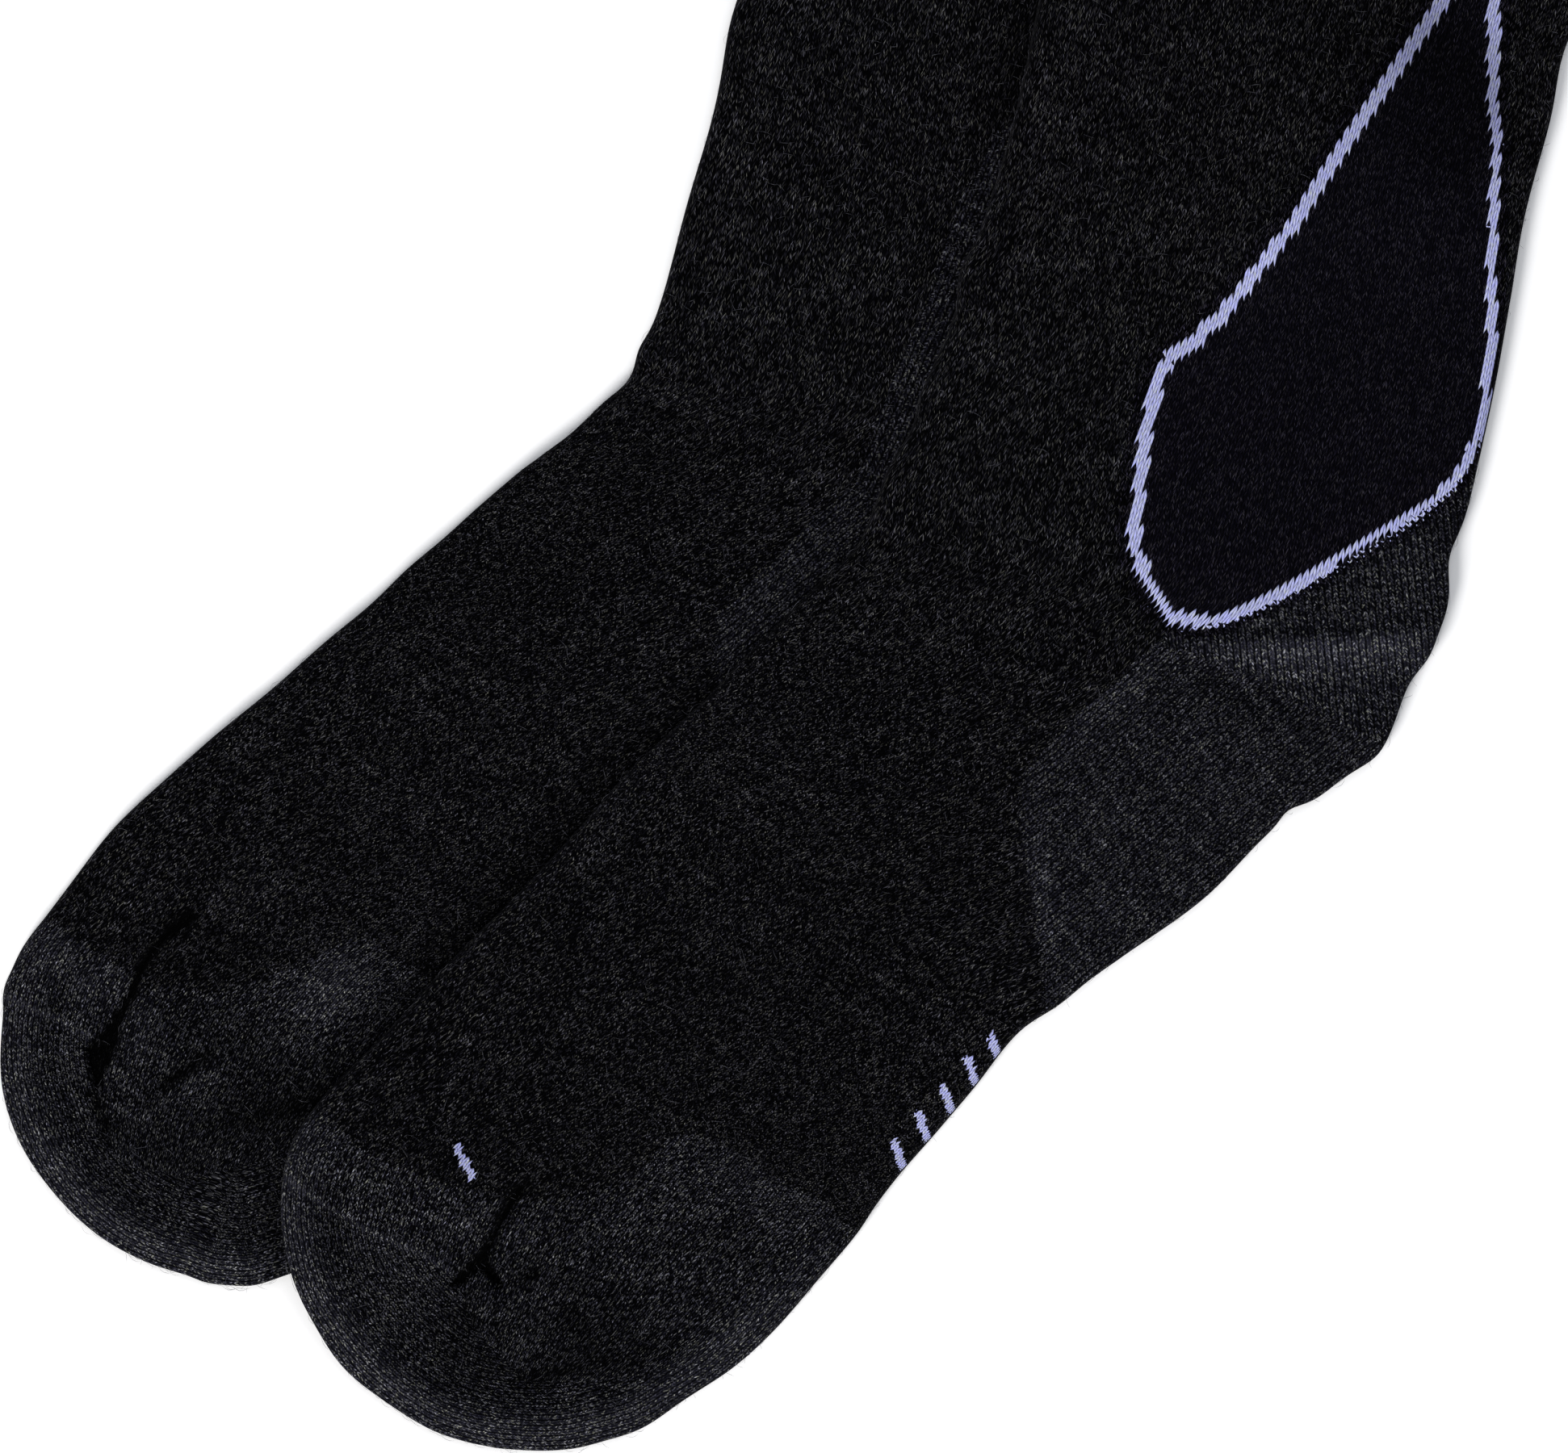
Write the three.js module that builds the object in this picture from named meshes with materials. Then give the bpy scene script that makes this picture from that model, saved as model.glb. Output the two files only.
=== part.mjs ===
// A pair of knee-high ski socks, laid flat on their sides, the upper sock lying on the under one.
// Millimetres, +Z up. x runs from the toes to the heels, y runs up the legs to the knee cuffs.
//
// Each sock is one flattened tube of padded knit: two panels lying on each other, joined round at
// the front fold (shin and instep) and at the back fold (calf, heel and sole), open at the cuff and
// closed at the toe. It is built as sections across the flat tube, and parted into the zones that
// are knitted in turn: cuff, leg, heel, foot and toe.

import * as THREE from 'three';

// Cloth
const WALL = 2;
const HOLLOW = 0.4;
const THICKNESS = 2 * WALL + HOLLOW;
const FOLD_RADIUS = THICKNESS / 2;
const SEAM_GAP = 0.3;

// Where the upper sock lies on the under one, and how it comes down beside it
const REST_GAP = 0.3;
const RAMP_START = 1;
const RAMP_LENGTH = 30;
const CUFF_OVERHANG = 60;

// The toe cap keeps a puffy rolled rim, with a shallow valley inside it
const RIM = { height: 1.2, inset: 4.5, width: 3.2 };
const RIM_VALLEY = { height: -0.5, inset: 11, width: 4 };

// Cuff ribs, raised on the upper side
const CUFF_RIBS = 20;
const RIB_HEIGHT = 0.4;

// The calf and cuff, the same on both socks: sections square to the leg, from the cuff down, given
// by their distance above the first row of the sock's own table and their flat width
const LEG_LEAN = THREE.MathUtils.degToRad(13.5);
const LEG_UP = new THREE.Vector2(Math.sin(LEG_LEAN), Math.cos(LEG_LEAN));
const LEG_BACK = new THREE.Vector2(LEG_UP.y, -LEG_UP.x);
const CALF = [
  { along: 280, width: 104 },
  { along: 243, width: 103 },
  { along: 200, width: 111 },
  { along: 140, width: 120 },
  { along: 80, width: 119 },
  { along: 35, width: 114.5 },
];

// The lower leg, heel, foot and toe of each sock as they lie, one row for each section: fx and fy
// on the front fold, bx and by on the back fold. The last row is the toe's tip.
const UPPER_ROWS = [
  { fx: 54, fy: 154, bx: 163, by: 130 },
  { fx: 48.5, fy: 128, bx: 157, by: 108 },
  { fx: 43, fy: 109.5, bx: 154, by: 90.5 },
  { fx: 35.5, fy: 85.5, bx: 150.5, by: 71 },
  { fx: 24, fy: 60.5, bx: 145, by: 46 },
  { fx: 15.5, fy: 38.5, bx: 140, by: 23 },
  { fx: 8.5, fy: 31.5, bx: 133, by: 10.5 },
  { fx: 2.5, fy: 25.5, bx: 127.5, by: -2.5 },
  { fx: -3.5, fy: 19.5, bx: 116, by: -13 },
  { fx: -10, fy: 13, bx: 103.5, by: -22 },
  { fx: -17, fy: 5.5, bx: 89, by: -36.5 },
  { fx: -24, fy: -1, bx: 71.5, by: -49 },
  { fx: -32, fy: -8.5, bx: 51, by: -63.5 },
  { fx: -43, fy: -21, bx: 40, by: -77 },
  { fx: -55.5, fy: -34.5, bx: 31.5, by: -87 },
  { fx: -69.5, fy: -48.5, bx: 24.5, by: -95 },
  { fx: -84, fy: -64.5, bx: 19.5, by: -101.5 },
  { fx: -98.5, fy: -79.5, bx: 15.5, by: -107.5 },
  { fx: -104.5, fy: -89, bx: 7.5, by: -117 },
  { fx: -106.5, fy: -100.5, bx: -2, by: -128 },
  { fx: -105.5, fy: -111, bx: -12, by: -137.5 },
  { fx: -102.5, fy: -120.5, bx: -21.5, by: -144 },
  { fx: -97.5, fy: -129, bx: -30, by: -149 },
  { fx: -91, fy: -137, bx: -38, by: -151.5 },
  { fx: -83, fy: -144, bx: -44, by: -153 },
  { fx: -75, fy: -149, bx: -49, by: -153.5 },
  { fx: -68, fy: -151.5, bx: -54, by: -153.5 },
  { fx: -61, fy: -153, bx: -61, by: -153 },
];
const UNDER_ROWS = [
  { fx: -11.5, fy: 145.5, bx: 100.5, by: 119 },
  { fx: -15.5, fy: 128, bx: 99.5, by: 104.5 },
  { fx: -20.5, fy: 111, bx: 98, by: 91.5 },
  { fx: -26, fy: 90.5, bx: 95.5, by: 80.5 },
  { fx: -29.5, fy: 81, bx: 93.5, by: 69 },
  { fx: -33, fy: 73.5, bx: 92, by: 59 },
  { fx: -38.5, fy: 68.5, bx: 85.5, by: 47 },
  { fx: -45.5, fy: 62, bx: 78.5, by: 34 },
  { fx: -52, fy: 58, bx: 66, by: 23 },
  { fx: -58, fy: 52.5, bx: 52.5, by: 14 },
  { fx: -66, fy: 45.5, bx: 37, by: 0.5 },
  { fx: -74.5, fy: 37.5, bx: 17.5, by: -12 },
  { fx: -84, fy: 28.5, bx: -5, by: -26 },
  { fx: -96, fy: 19, bx: -17.5, by: -39 },
  { fx: -108.5, fy: 8, bx: -28, by: -49.5 },
  { fx: -122.5, fy: -3.5, bx: -37, by: -57 },
  { fx: -140.5, fy: -20.5, bx: -45.5, by: -63 },
  { fx: -155.5, fy: -39, bx: -54, by: -68.5 },
  { fx: -162.5, fy: -49, bx: -61.5, by: -78.5 },
  { fx: -165.5, fy: -62, bx: -70.5, by: -90.5 },
  { fx: -165.5, fy: -73.5, bx: -80.5, by: -101 },
  { fx: -162.5, fy: -84, bx: -90, by: -108.5 },
  { fx: -158, fy: -94, bx: -98.5, by: -113.5 },
  { fx: -151, fy: -103, bx: -106, by: -116.5 },
  { fx: -143, fy: -109.5, bx: -112.5, by: -118.5 },
  { fx: -134, fy: -114, bx: -117.5, by: -118.5 },
  { fx: -127.5, fy: -116, bx: -122, by: -118 },
  { fx: -125, fy: -117, bx: -125, by: -117 },
];

// Where the zones meet, counted in sections from the cuff: the seam rows of the calf table and of
// the sock's own table
const CUFF_SEAM = 1;
const HEEL_SEAM = CALF.length + 5;
const FOOT_SEAM = CALF.length + 12;
const TOE_SEAM = CALF.length + 17;
const TIP = CALF.length + UPPER_ROWS.length - 1;

// Zones of a sock, with the sections that each takes between two rows, and the points across its
// upper side. The toe cap has the finest folds, so it has the closest points.
const ZONES = [
  { name: 'cuff', from: 0, to: CUFF_SEAM, sections: 2, across: 2 * CUFF_RIBS, colour: 0x1b1b1e },
  { name: 'leg', from: CUFF_SEAM, to: HEEL_SEAM, sections: 1, across: 14, colour: 0x1a1a1d },
  { name: 'heel', from: HEEL_SEAM, to: FOOT_SEAM, sections: 1, across: 22, colour: 0x2d2e33 },
  { name: 'foot', from: FOOT_SEAM, to: TOE_SEAM, sections: 1.6, across: 14, colour: 0x1a1a1d },
  { name: 'toe', from: TOE_SEAM, to: TIP, sections: 1.5, across: 26, colour: 0x292a2f },
];
const KNIT_ROUGHNESS = 0.95;

// Points that make a quarter of a rounded fold, the most of a narrow section's width that a fold
// takes, and the narrowest section that still has a hollow
const FOLD_STEPS = 2;
const FOLD_SHARE = 1 / 3;
const LEAST_HOLLOW = 14;

// Steps along a sock, in sections, for its outline and for reading which way a fold runs
const OUTLINE_STEP = 0.5;
const NUDGE = 0.01;

// The largest folds, each along three points. A ridge lifts the whole panel, a trough is pressed
// into its outer face only.
const UPPER_FOLDS = [
  { name: 'toe pleat', line: [[-55, -96.5], [-61.5, -107.5], [-70, -118]], height: -1, width: 2.4 },
  { name: 'toe pleat lip', line: [[-59, -95], [-66, -106], [-74, -116]], height: 0.7, width: 2.6 },
  { name: 'toe pucker', line: [[-64, -112], [-58, -114.5], [-52.5, -114]], height: -0.6, width: 2 },
  { name: 'toe hollow', line: [[-66, -125], [-55.5, -135], [-40.5, -134]], height: -0.6, width: 4 },
  { name: 'heel ridge', line: [[84.5, 17], [110, 15.5], [134, 20]], height: 1.4, width: 6 },
  { name: 'heel trough', line: [[92, 24], [108, 26], [124, 30]], height: -0.5, width: 4.5 },
];
const UNDER_FOLDS = [
  { name: 'toe pleat', line: [[-126, -38], [-137, -52], [-144, -71]], height: -1.1, width: 2.8 },
  { name: 'toe pleat lip', line: [[-131, -37], [-142, -51], [-149, -69]], height: 0.8, width: 2.8 },
  { name: 'toe pucker', line: [[-134.5, -76.5], [-129, -75], [-124, -72]], height: -0.6, width: 2 },
  { name: 'toe hollow', line: [[-133, -92], [-120, -90], [-100.5, -80]], height: -0.6, width: 4.5 },
];

// Where the under sock gets thicker below the upper one, as y, from its plain thickness to its full
// rise: down the foot to the toe's rim, and up the leg to the cuff's ribs
const RISES = [
  { from: -20, to: -45, height: RIM.height },
  { from: 320, to: 345, height: RIB_HEIGHT },
];

const smooth = (value, from, to) => THREE.MathUtils.smoothstep((value - from) / (to - from), 0, 1);
const bump = (distance, width) => Math.exp(-((distance / width) ** 2));

// Section rows of a whole sock, from the cuff to the tip
function sectionRows(rows) {
  const middle = new THREE.Vector2((rows[0].fx + rows[0].bx) / 2, (rows[0].fy + rows[0].by) / 2);
  const calf = CALF.map(({ along, width }) => {
    const centre = middle.clone().addScaledVector(LEG_UP, along);
    return {
      front: centre.clone().addScaledVector(LEG_BACK, -width / 2),
      back: centre.clone().addScaledVector(LEG_BACK, width / 2),
    };
  });
  const lower = rows.map(({ fx, fy, bx, by }) => ({
    front: new THREE.Vector2(fx, fy),
    back: new THREE.Vector2(bx, by),
  }));
  return [...calf, ...lower];
}

// The front and back folds as smooth curves, read at a section number
function foldCurves(rows) {
  const curves = ['front', 'back'].map((side) => {
    const points = rows.map((row) => new THREE.Vector3(row[side].x, row[side].y, 0));
    return new THREE.CatmullRomCurve3(points, false, 'centripetal');
  });
  const last = rows.length - 1;
  return (section) => {
    const [front, back] = curves.map((curve) => {
      const point = curve.getPoint(THREE.MathUtils.clamp(section / last, 0, 1));
      return new THREE.Vector2(point.x, point.y);
    });
    return { front, back };
  };
}

function distanceToSegment(x, y, a, b) {
  const dx = b.x - a.x;
  const dy = b.y - a.y;
  const share = THREE.MathUtils.clamp(((x - a.x) * dx + (y - a.y) * dy) / (dx * dx + dy * dy), 0, 1);
  return Math.hypot(x - a.x - share * dx, y - a.y - share * dy);
}

function distanceToLine(x, y, points) {
  let nearest = Infinity;
  for (let i = 1; i < points.length; i += 1) {
    nearest = Math.min(nearest, distanceToSegment(x, y, points[i - 1], points[i]));
  }
  return nearest;
}

function isInside(x, y, outline) {
  let inside = false;
  outline.forEach((a, i) => {
    const b = outline[(i + 1) % outline.length];
    if (a.y > y !== b.y > y && x < a.x + ((y - a.y) / (b.y - a.y)) * (b.x - a.x)) inside = !inside;
  });
  return inside;
}

// A sock as laid: its curves, its outline, its folds, and what it rests on
function makeSock(name, rows, folds, base) {
  const sectionAt = foldCurves(sectionRows(rows));
  const front = [];
  const back = [];
  for (let section = 0; section < TIP; section += OUTLINE_STEP) {
    const { front: f, back: b } = sectionAt(section);
    front.push(f);
    back.push(b);
  }
  const tip = sectionAt(TIP).front;
  return {
    name,
    sectionAt,
    base,
    tip,
    outline: [...front, tip, ...back.reverse()],
    folds: folds.map(({ line, ...fold }) => ({ ...fold, line: line.map(([x, y]) => ({ x, y })) })),
  };
}

// Height of the floor, or of the under sock, below a point of the upper sock. The upper cuff reaches
// a little past the under one and stays level there, as if the under leg went on.
function restOn(under) {
  const onward = LEG_UP.clone().multiplyScalar(CUFF_OVERHANG);
  const first = under.outline[0].clone().add(onward);
  const last = under.outline.at(-1).clone().add(onward);
  const outline = [first, ...under.outline, last];
  return (x, y) => {
    const outside = isInside(x, y, outline) ? 0 : distanceToLine(x, y, outline);
    const rise = RISES.reduce((sum, { from, to, height }) => sum + height * smooth(y, from, to), 0);
    const high = THICKNESS + REST_GAP + rise;
    return high * (1 - smooth(outside, RAMP_START, RAMP_START + RAMP_LENGTH));
  };
}

// How much a sock's upper panel is lifted, and how deep its outer face is pressed in, at a point.
// The rim grows from the row before the toe's seam to two rows past it.
function relief(sock, section, x, y) {
  let lift = 0;
  let press = 0;
  const toe = smooth(section, TOE_SEAM - 1, TOE_SEAM + 2);
  if (toe > 0) {
    const inside = distanceToLine(x, y, sock.outline);
    const rim = RIM.height * bump(inside - RIM.inset, RIM.width);
    const valley = RIM_VALLEY.height * bump(inside - RIM_VALLEY.inset, RIM_VALLEY.width);
    lift += toe * rim;
    press += toe * valley;
  }
  sock.folds.forEach(({ line, height, width }) => {
    const amount = height * bump(distanceToLine(x, y, line), width);
    if (height > 0) lift += amount;
    else press += amount;
  });
  return { lift, press: Math.max(press, -WALL / 2) };
}

// Ring of points round the outside of a section: over the top from front to back, round the back
// fold, back along the underside, and round the front fold
function outerRing(sock, zone, station) {
  const { front, back, section, squash } = station;
  const width = front.distanceTo(back);
  const radius = Math.min(FOLD_RADIUS, width * FOLD_SHARE);
  const at = (distance) => front.clone().lerp(back, distance / width);
  const levels = (point) => {
    const low = sock.base(point.x, point.y);
    const { lift, press } = relief(sock, section, point.x, point.y);
    const middle = low + (THICKNESS + lift) / 2;
    const half = ((THICKNESS + lift) / 2) * squash;
    return { low: middle - half, middle, half, high: middle + half + press * squash };
  };
  const ring = [];
  const under = zone.under;
  for (let i = 0; i <= zone.across; i += 1) {
    const point = at(radius + (i / zone.across) * (width - 2 * radius));
    const rib = zone.name === 'cuff' && i % 2 === 1 ? RIB_HEIGHT : 0;
    ring.push([point.x, point.y, levels(point).high + rib]);
  }
  const turnFold = (inset, outward, first) => {
    const { middle, half } = levels(at(inset));
    for (let i = 1; i < 2 * FOLD_STEPS; i += 1) {
      const angle = first + (Math.PI * i) / (2 * FOLD_STEPS);
      const point = at(inset + outward * radius * Math.abs(Math.sin(angle)));
      ring.push([point.x, point.y, middle + half * Math.cos(angle)]);
    }
  };
  turnFold(width - radius, 1, 0);
  for (let i = under; i >= 0; i -= 1) {
    const point = at(radius + (i / under) * (width - 2 * radius));
    ring.push([point.x, point.y, levels(point).low]);
  }
  turnFold(radius, -1, Math.PI);
  return ring;
}

// Ring round the hollow between the two panels, over the top and back
function innerRing(sock, zone, station) {
  const { front, back, section } = station;
  const width = front.distanceTo(back);
  const at = (distance) => front.clone().lerp(back, distance / width);
  const count = zone.under;
  const ring = [];
  for (let i = 0; i <= count; i += 1) {
    const point = at(WALL + (i / count) * (width - 2 * WALL));
    const { lift } = relief(sock, section, point.x, point.y);
    ring.push([point.x, point.y, sock.base(point.x, point.y) + WALL + HOLLOW + lift]);
  }
  for (let i = count; i >= 0; i -= 1) {
    const point = at(WALL + (i / count) * (width - 2 * WALL));
    ring.push([point.x, point.y, sock.base(point.x, point.y) + WALL]);
  }
  return ring;
}

// Sections of one zone. Half the seam gap comes off each end that meets another zone.
function stationsOf(sock, zone) {
  const steps = Math.round((zone.to - zone.from) * zone.sections);
  const stations = [];
  for (let i = 0; i <= steps; i += 1) {
    const section = zone.from + ((zone.to - zone.from) * i) / steps;
    const station = { ...sock.sectionAt(section), section, squash: 1 };
    const before = sock.sectionAt(Math.max(section - NUDGE, 0));
    const after = sock.sectionAt(section + NUDGE);
    const trim = (side) => {
      const onward = after[side].clone().sub(before[side]).normalize();
      if (i === 0 && section > 0) station[side].addScaledVector(onward, SEAM_GAP / 2);
      if (i === steps) station[side].addScaledVector(onward, -SEAM_GAP / 2);
    };
    if (section < TIP) {
      ['front', 'back'].forEach(trim);
      const middle = station.front.clone().lerp(station.back, 0.5);
      const fromTip = Math.min(middle.distanceTo(sock.tip) / (FOLD_RADIUS + RIM.height / 2), 1);
      station.squash = Math.sqrt(1 - (1 - fromTip) ** 2);
      stations.push(station);
    }
  }
  return stations;
}

// Triangles of a piece, gathered ring by ring
class Surface {
  constructor() {
    this.points = [];
    this.faces = [];
  }

  addRing(ring) {
    const first = this.points.length;
    this.points.push(...ring);
    return ring.map((_, i) => first + i);
  }

  // Joins two rings of the same count. The first is nearer the cuff.
  join(a, b, inward) {
    a.forEach((_, i) => {
      const k = (i + 1) % a.length;
      this.addQuad(a[i], a[k], b[k], b[i], inward);
    });
  }

  addQuad(p, q, r, s, flip) {
    const faces = [[p, q, r], [p, r, s]];
    this.faces.push(...faces.map((face) => (flip ? face.toReversed() : face)));
  }

  // Closes the wall's edge between an outer and an inner ring that lie in one section
  closeEdge(outer, inner, flip) {
    const origin = new THREE.Vector3(...this.points[outer[0]]);
    const across = new THREE.Vector3(...this.points[inner[Math.floor(inner.length / 2)]]).sub(origin);
    across.z = 0;
    across.normalize();
    const flat = (index) => {
      const [x, y, z] = this.points[index];
      return new THREE.Vector2((x - origin.x) * across.x + (y - origin.y) * across.y, z);
    };
    const order = [...outer, ...inner];
    const contour = outer.map(flat);
    const holes = [inner.map(flat)];
    const all = [...contour, ...holes[0]];
    THREE.ShapeUtils.triangulateShape(contour, holes).forEach((face) => {
      const [a, b, c] = face.map((i) => all[i]);
      const turnsLeft = (b.x - a.x) * (c.y - a.y) - (b.y - a.y) * (c.x - a.x) > 0;
      const corners = face.map((i) => order[i]);
      this.faces.push(turnsLeft === flip ? corners.toReversed() : corners);
    });
  }

  geometry() {
    const geometry = new THREE.BufferGeometry();
    geometry.setAttribute('position', new THREE.Float32BufferAttribute(this.points.flat(), 3));
    geometry.setIndex(this.faces.flat());
    geometry.computeVertexNormals();
    return geometry;
  }
}

function makeZone(sock, zone) {
  const stations = stationsOf(sock, zone);
  const surface = new Surface();
  const outer = stations.map((station) => surface.addRing(outerRing(sock, zone, station)));
  const hollow = stations.filter(({ front, back }) => front.distanceTo(back) > LEAST_HOLLOW);
  const inner = hollow.map((station) => surface.addRing(innerRing(sock, zone, station)));
  for (let i = 1; i < outer.length; i += 1) surface.join(outer[i - 1], outer[i], true);
  for (let i = 1; i < inner.length; i += 1) surface.join(inner[i - 1], inner[i], false);
  surface.closeEdge(outer[0], inner[0], true);
  if (zone.to < TIP) {
    surface.closeEdge(outer.at(-1), inner.at(-1), false);
  } else {
    closeTip(surface, sock, outer.at(-1));
    closeHollow(surface, inner.at(-1));
  }
  const material = new THREE.MeshStandardMaterial({
    color: zone.colour,
    roughness: KNIT_ROUGHNESS,
    metalness: 0,
  });
  const mesh = new THREE.Mesh(surface.geometry(), material);
  mesh.name = `${sock.name}_${zone.name}`;
  return mesh;
}

// The toe's last ring runs to the tip, half way up
function closeTip(surface, sock, ring) {
  const height = sock.base(sock.tip.x, sock.tip.y) + THICKNESS / 2;
  const [tip] = surface.addRing([[sock.tip.x, sock.tip.y, height]]);
  ring.forEach((_, i) => surface.faces.push([tip, ring[(i + 1) % ring.length], ring[i]]));
}

// The toe's hollow ends in a strip between its upper and lower side
function closeHollow(surface, ring) {
  const half = ring.length / 2;
  for (let i = 1; i < half; i += 1) {
    surface.addQuad(ring[i - 1], ring[i], ring[ring.length - 1 - i], ring[ring.length - i], false);
  }
}

const onTheFloor = () => 0;
const underSock = makeSock('under', UNDER_ROWS, UNDER_FOLDS, onTheFloor);
const upperSock = makeSock('upper', UPPER_ROWS, UPPER_FOLDS, restOn(underSock));

// A sock flat on the floor needs few points on its underside, one that comes down a slope needs more
const UNDERSIDE = { under: 4, upper: 14 };

const pair = new THREE.Group();
[underSock, upperSock].forEach((sock) => {
  ZONES.forEach((zone) => {
    pair.add(makeZone(sock, { ...zone, under: UNDERSIDE[sock.name] }));
  });
});

// The origin is on the floor under the middle of the pair
const box = new THREE.Box3().setFromObject(pair);
const centre = box.getCenter(new THREE.Vector3());
pair.position.set(-centre.x, -centre.y, -box.min.z);

export default pair;
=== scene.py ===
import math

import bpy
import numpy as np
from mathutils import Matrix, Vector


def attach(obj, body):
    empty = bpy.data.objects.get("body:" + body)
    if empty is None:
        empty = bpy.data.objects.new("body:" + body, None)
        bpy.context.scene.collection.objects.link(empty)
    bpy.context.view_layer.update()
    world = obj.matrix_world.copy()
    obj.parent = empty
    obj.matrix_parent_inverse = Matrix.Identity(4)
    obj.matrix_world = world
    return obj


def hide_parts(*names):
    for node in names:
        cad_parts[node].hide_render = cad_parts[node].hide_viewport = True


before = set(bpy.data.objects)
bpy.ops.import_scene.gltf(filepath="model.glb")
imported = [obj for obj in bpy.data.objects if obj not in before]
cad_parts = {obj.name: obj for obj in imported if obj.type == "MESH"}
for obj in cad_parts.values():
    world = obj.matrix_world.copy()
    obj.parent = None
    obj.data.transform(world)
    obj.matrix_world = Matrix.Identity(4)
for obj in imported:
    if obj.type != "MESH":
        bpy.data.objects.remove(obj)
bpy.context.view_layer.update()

# A pair of knee-high ski socks, laid flat on their sides, seen from straight above.
#
# The shapes repeat the part's source: two curves for each sock, its front and back fold, read at a
# section number that runs from the cuff (0) to the tip of the toe. Lengths are in millimetres in
# the plane of the photograph until a mesh is made. Points marked as pixels are places in the
# 1942 x 1800 photograph.

MM = 0.001

# Photograph
PHOTO_SIZE = np.array([1942, 1800])
PIXELS_PER_MM = 5.85
PLANE_SHIFT = np.array([-29.299, -136.428])

# Cloth, as in the part's source
WALL = 2.0
HOLLOW = 0.4
THICKNESS = 2 * WALL + HOLLOW
FOLD_RADIUS = THICKNESS / 2
FOLD_SHARE = 1 / 3
REST_GAP = 0.3
RAMP_START = 1.0
RAMP_LENGTH = 30.0
CUFF_OVERHANG = 60.0
TOE_RISE = 1.2
RIM_PUFF = {"height": 1.7, "inset": 5.0, "width": 3.6}
RIM_VALLEY = {"height": -0.9, "inset": 12.0, "width": 3.6}
# How much thicker the under sock gets below the upper one, down to its toe and up to its ribs: the
# heights y where each rise starts and is full, and its size
RIB_HEIGHT = 0.4
RISES = [(-20, -45, TOE_RISE), (320, 345, RIB_HEIGHT)]
# What may still stand up of the under sock's relief below the upper one, and how far relief may press
# into the wall
COVERED_RISE = 0.2
PRESS_SHARE = 0.85
CUFF_RIBS = 20
RIB_SQUARE = 0.9
RIB_SHADE = 0.65
CUFF_FADE = 0.06

LEG_LEAN = math.radians(13.5)
LEG_UP = np.array([math.sin(LEG_LEAN), math.cos(LEG_LEAN)])
LEG_BACK = np.array([LEG_UP[1], -LEG_UP[0]])
CALF = [(280, 104), (243, 103), (200, 111), (140, 120), (80, 119), (35, 114.5)]

# Front fold x, y and back fold x, y
UPPER_ROWS = [
    (54, 154, 163, 130), (48.5, 128, 157, 108), (43, 109.5, 154, 90.5),
    (35.5, 85.5, 150.5, 71), (24, 60.5, 145, 46), (15.5, 38.5, 140, 23),
    (8.5, 31.5, 133, 10.5), (2.5, 25.5, 127.5, -2.5), (-3.5, 19.5, 116, -13),
    (-10, 13, 103.5, -22), (-17, 5.5, 89, -36.5), (-24, -1, 71.5, -49),
    (-32, -8.5, 51, -63.5), (-43, -21, 40, -77), (-55.5, -34.5, 31.5, -87),
    (-69.5, -48.5, 24.5, -95), (-84, -64.5, 19.5, -101.5), (-98.5, -79.5, 15.5, -107.5),
    (-104.5, -89, 7.5, -117), (-106.5, -100.5, -2, -128), (-105.5, -111, -12, -137.5),
    (-102.5, -120.5, -21.5, -144), (-97.5, -129, -30, -149), (-91, -137, -38, -151.5),
    (-83, -144, -44, -153), (-75, -149, -49, -153.5), (-68, -151.5, -54, -153.5),
    (-61, -153, -61, -153),
]
UNDER_ROWS = [
    (-11.5, 145.5, 100.5, 119), (-15.5, 128, 99.5, 104.5), (-20.5, 111, 98, 91.5),
    (-26, 90.5, 95.5, 80.5), (-29.5, 81, 93.5, 69), (-33, 73.5, 92, 59),
    (-38.5, 68.5, 85.5, 47), (-45.5, 62, 78.5, 34), (-52, 58, 66, 23),
    (-58, 52.5, 52.5, 14), (-66, 45.5, 37, 0.5), (-74.5, 37.5, 17.5, -12),
    (-84, 28.5, -5, -26), (-96, 19, -17.5, -39), (-108.5, 8, -28, -49.5),
    (-122.5, -3.5, -37, -57), (-140.5, -20.5, -45.5, -63), (-155.5, -39, -54, -68.5),
    (-162.5, -49, -61.5, -78.5), (-165.5, -62, -70.5, -90.5), (-165.5, -73.5, -80.5, -101),
    (-162.5, -84, -90, -108.5), (-158, -94, -98.5, -113.5), (-151, -103, -106, -116.5),
    (-143, -109.5, -112.5, -118.5), (-134, -114, -117.5, -118.5), (-127.5, -116, -122, -118),
    (-125, -117, -125, -117),
]
CUFF_SEAM = 1
TOE_SEAM = len(CALF) + 17
TIP = len(CALF) + len(UPPER_ROWS) - 1

# Mesh: columns across the upper side, points in each rounded fold, columns on the underside, and
# the longest step along a sock, by section
COLUMNS = 112
FOLD_POINTS = 5
UNDER_COLUMNS = 14
STEPS = [
    (0, 2.6), (len(CALF), 2.6), (len(CALF) + 0.5, 1.3), (TOE_SEAM - 0.5, 1.3), (TOE_SEAM, 0.8), (TIP, 0.8),
]
INNER_COLUMNS = 14
INNER_EVERY = 8
LEAST_HOLLOW = 14.0
# Sections at which a sock's outline and its length are measured
OUTLINE_STEP = 0.25
FINE_SECTIONS = 3301
LEAST_SQUASH = 1e-4
NUDGE = 0.05

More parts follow.
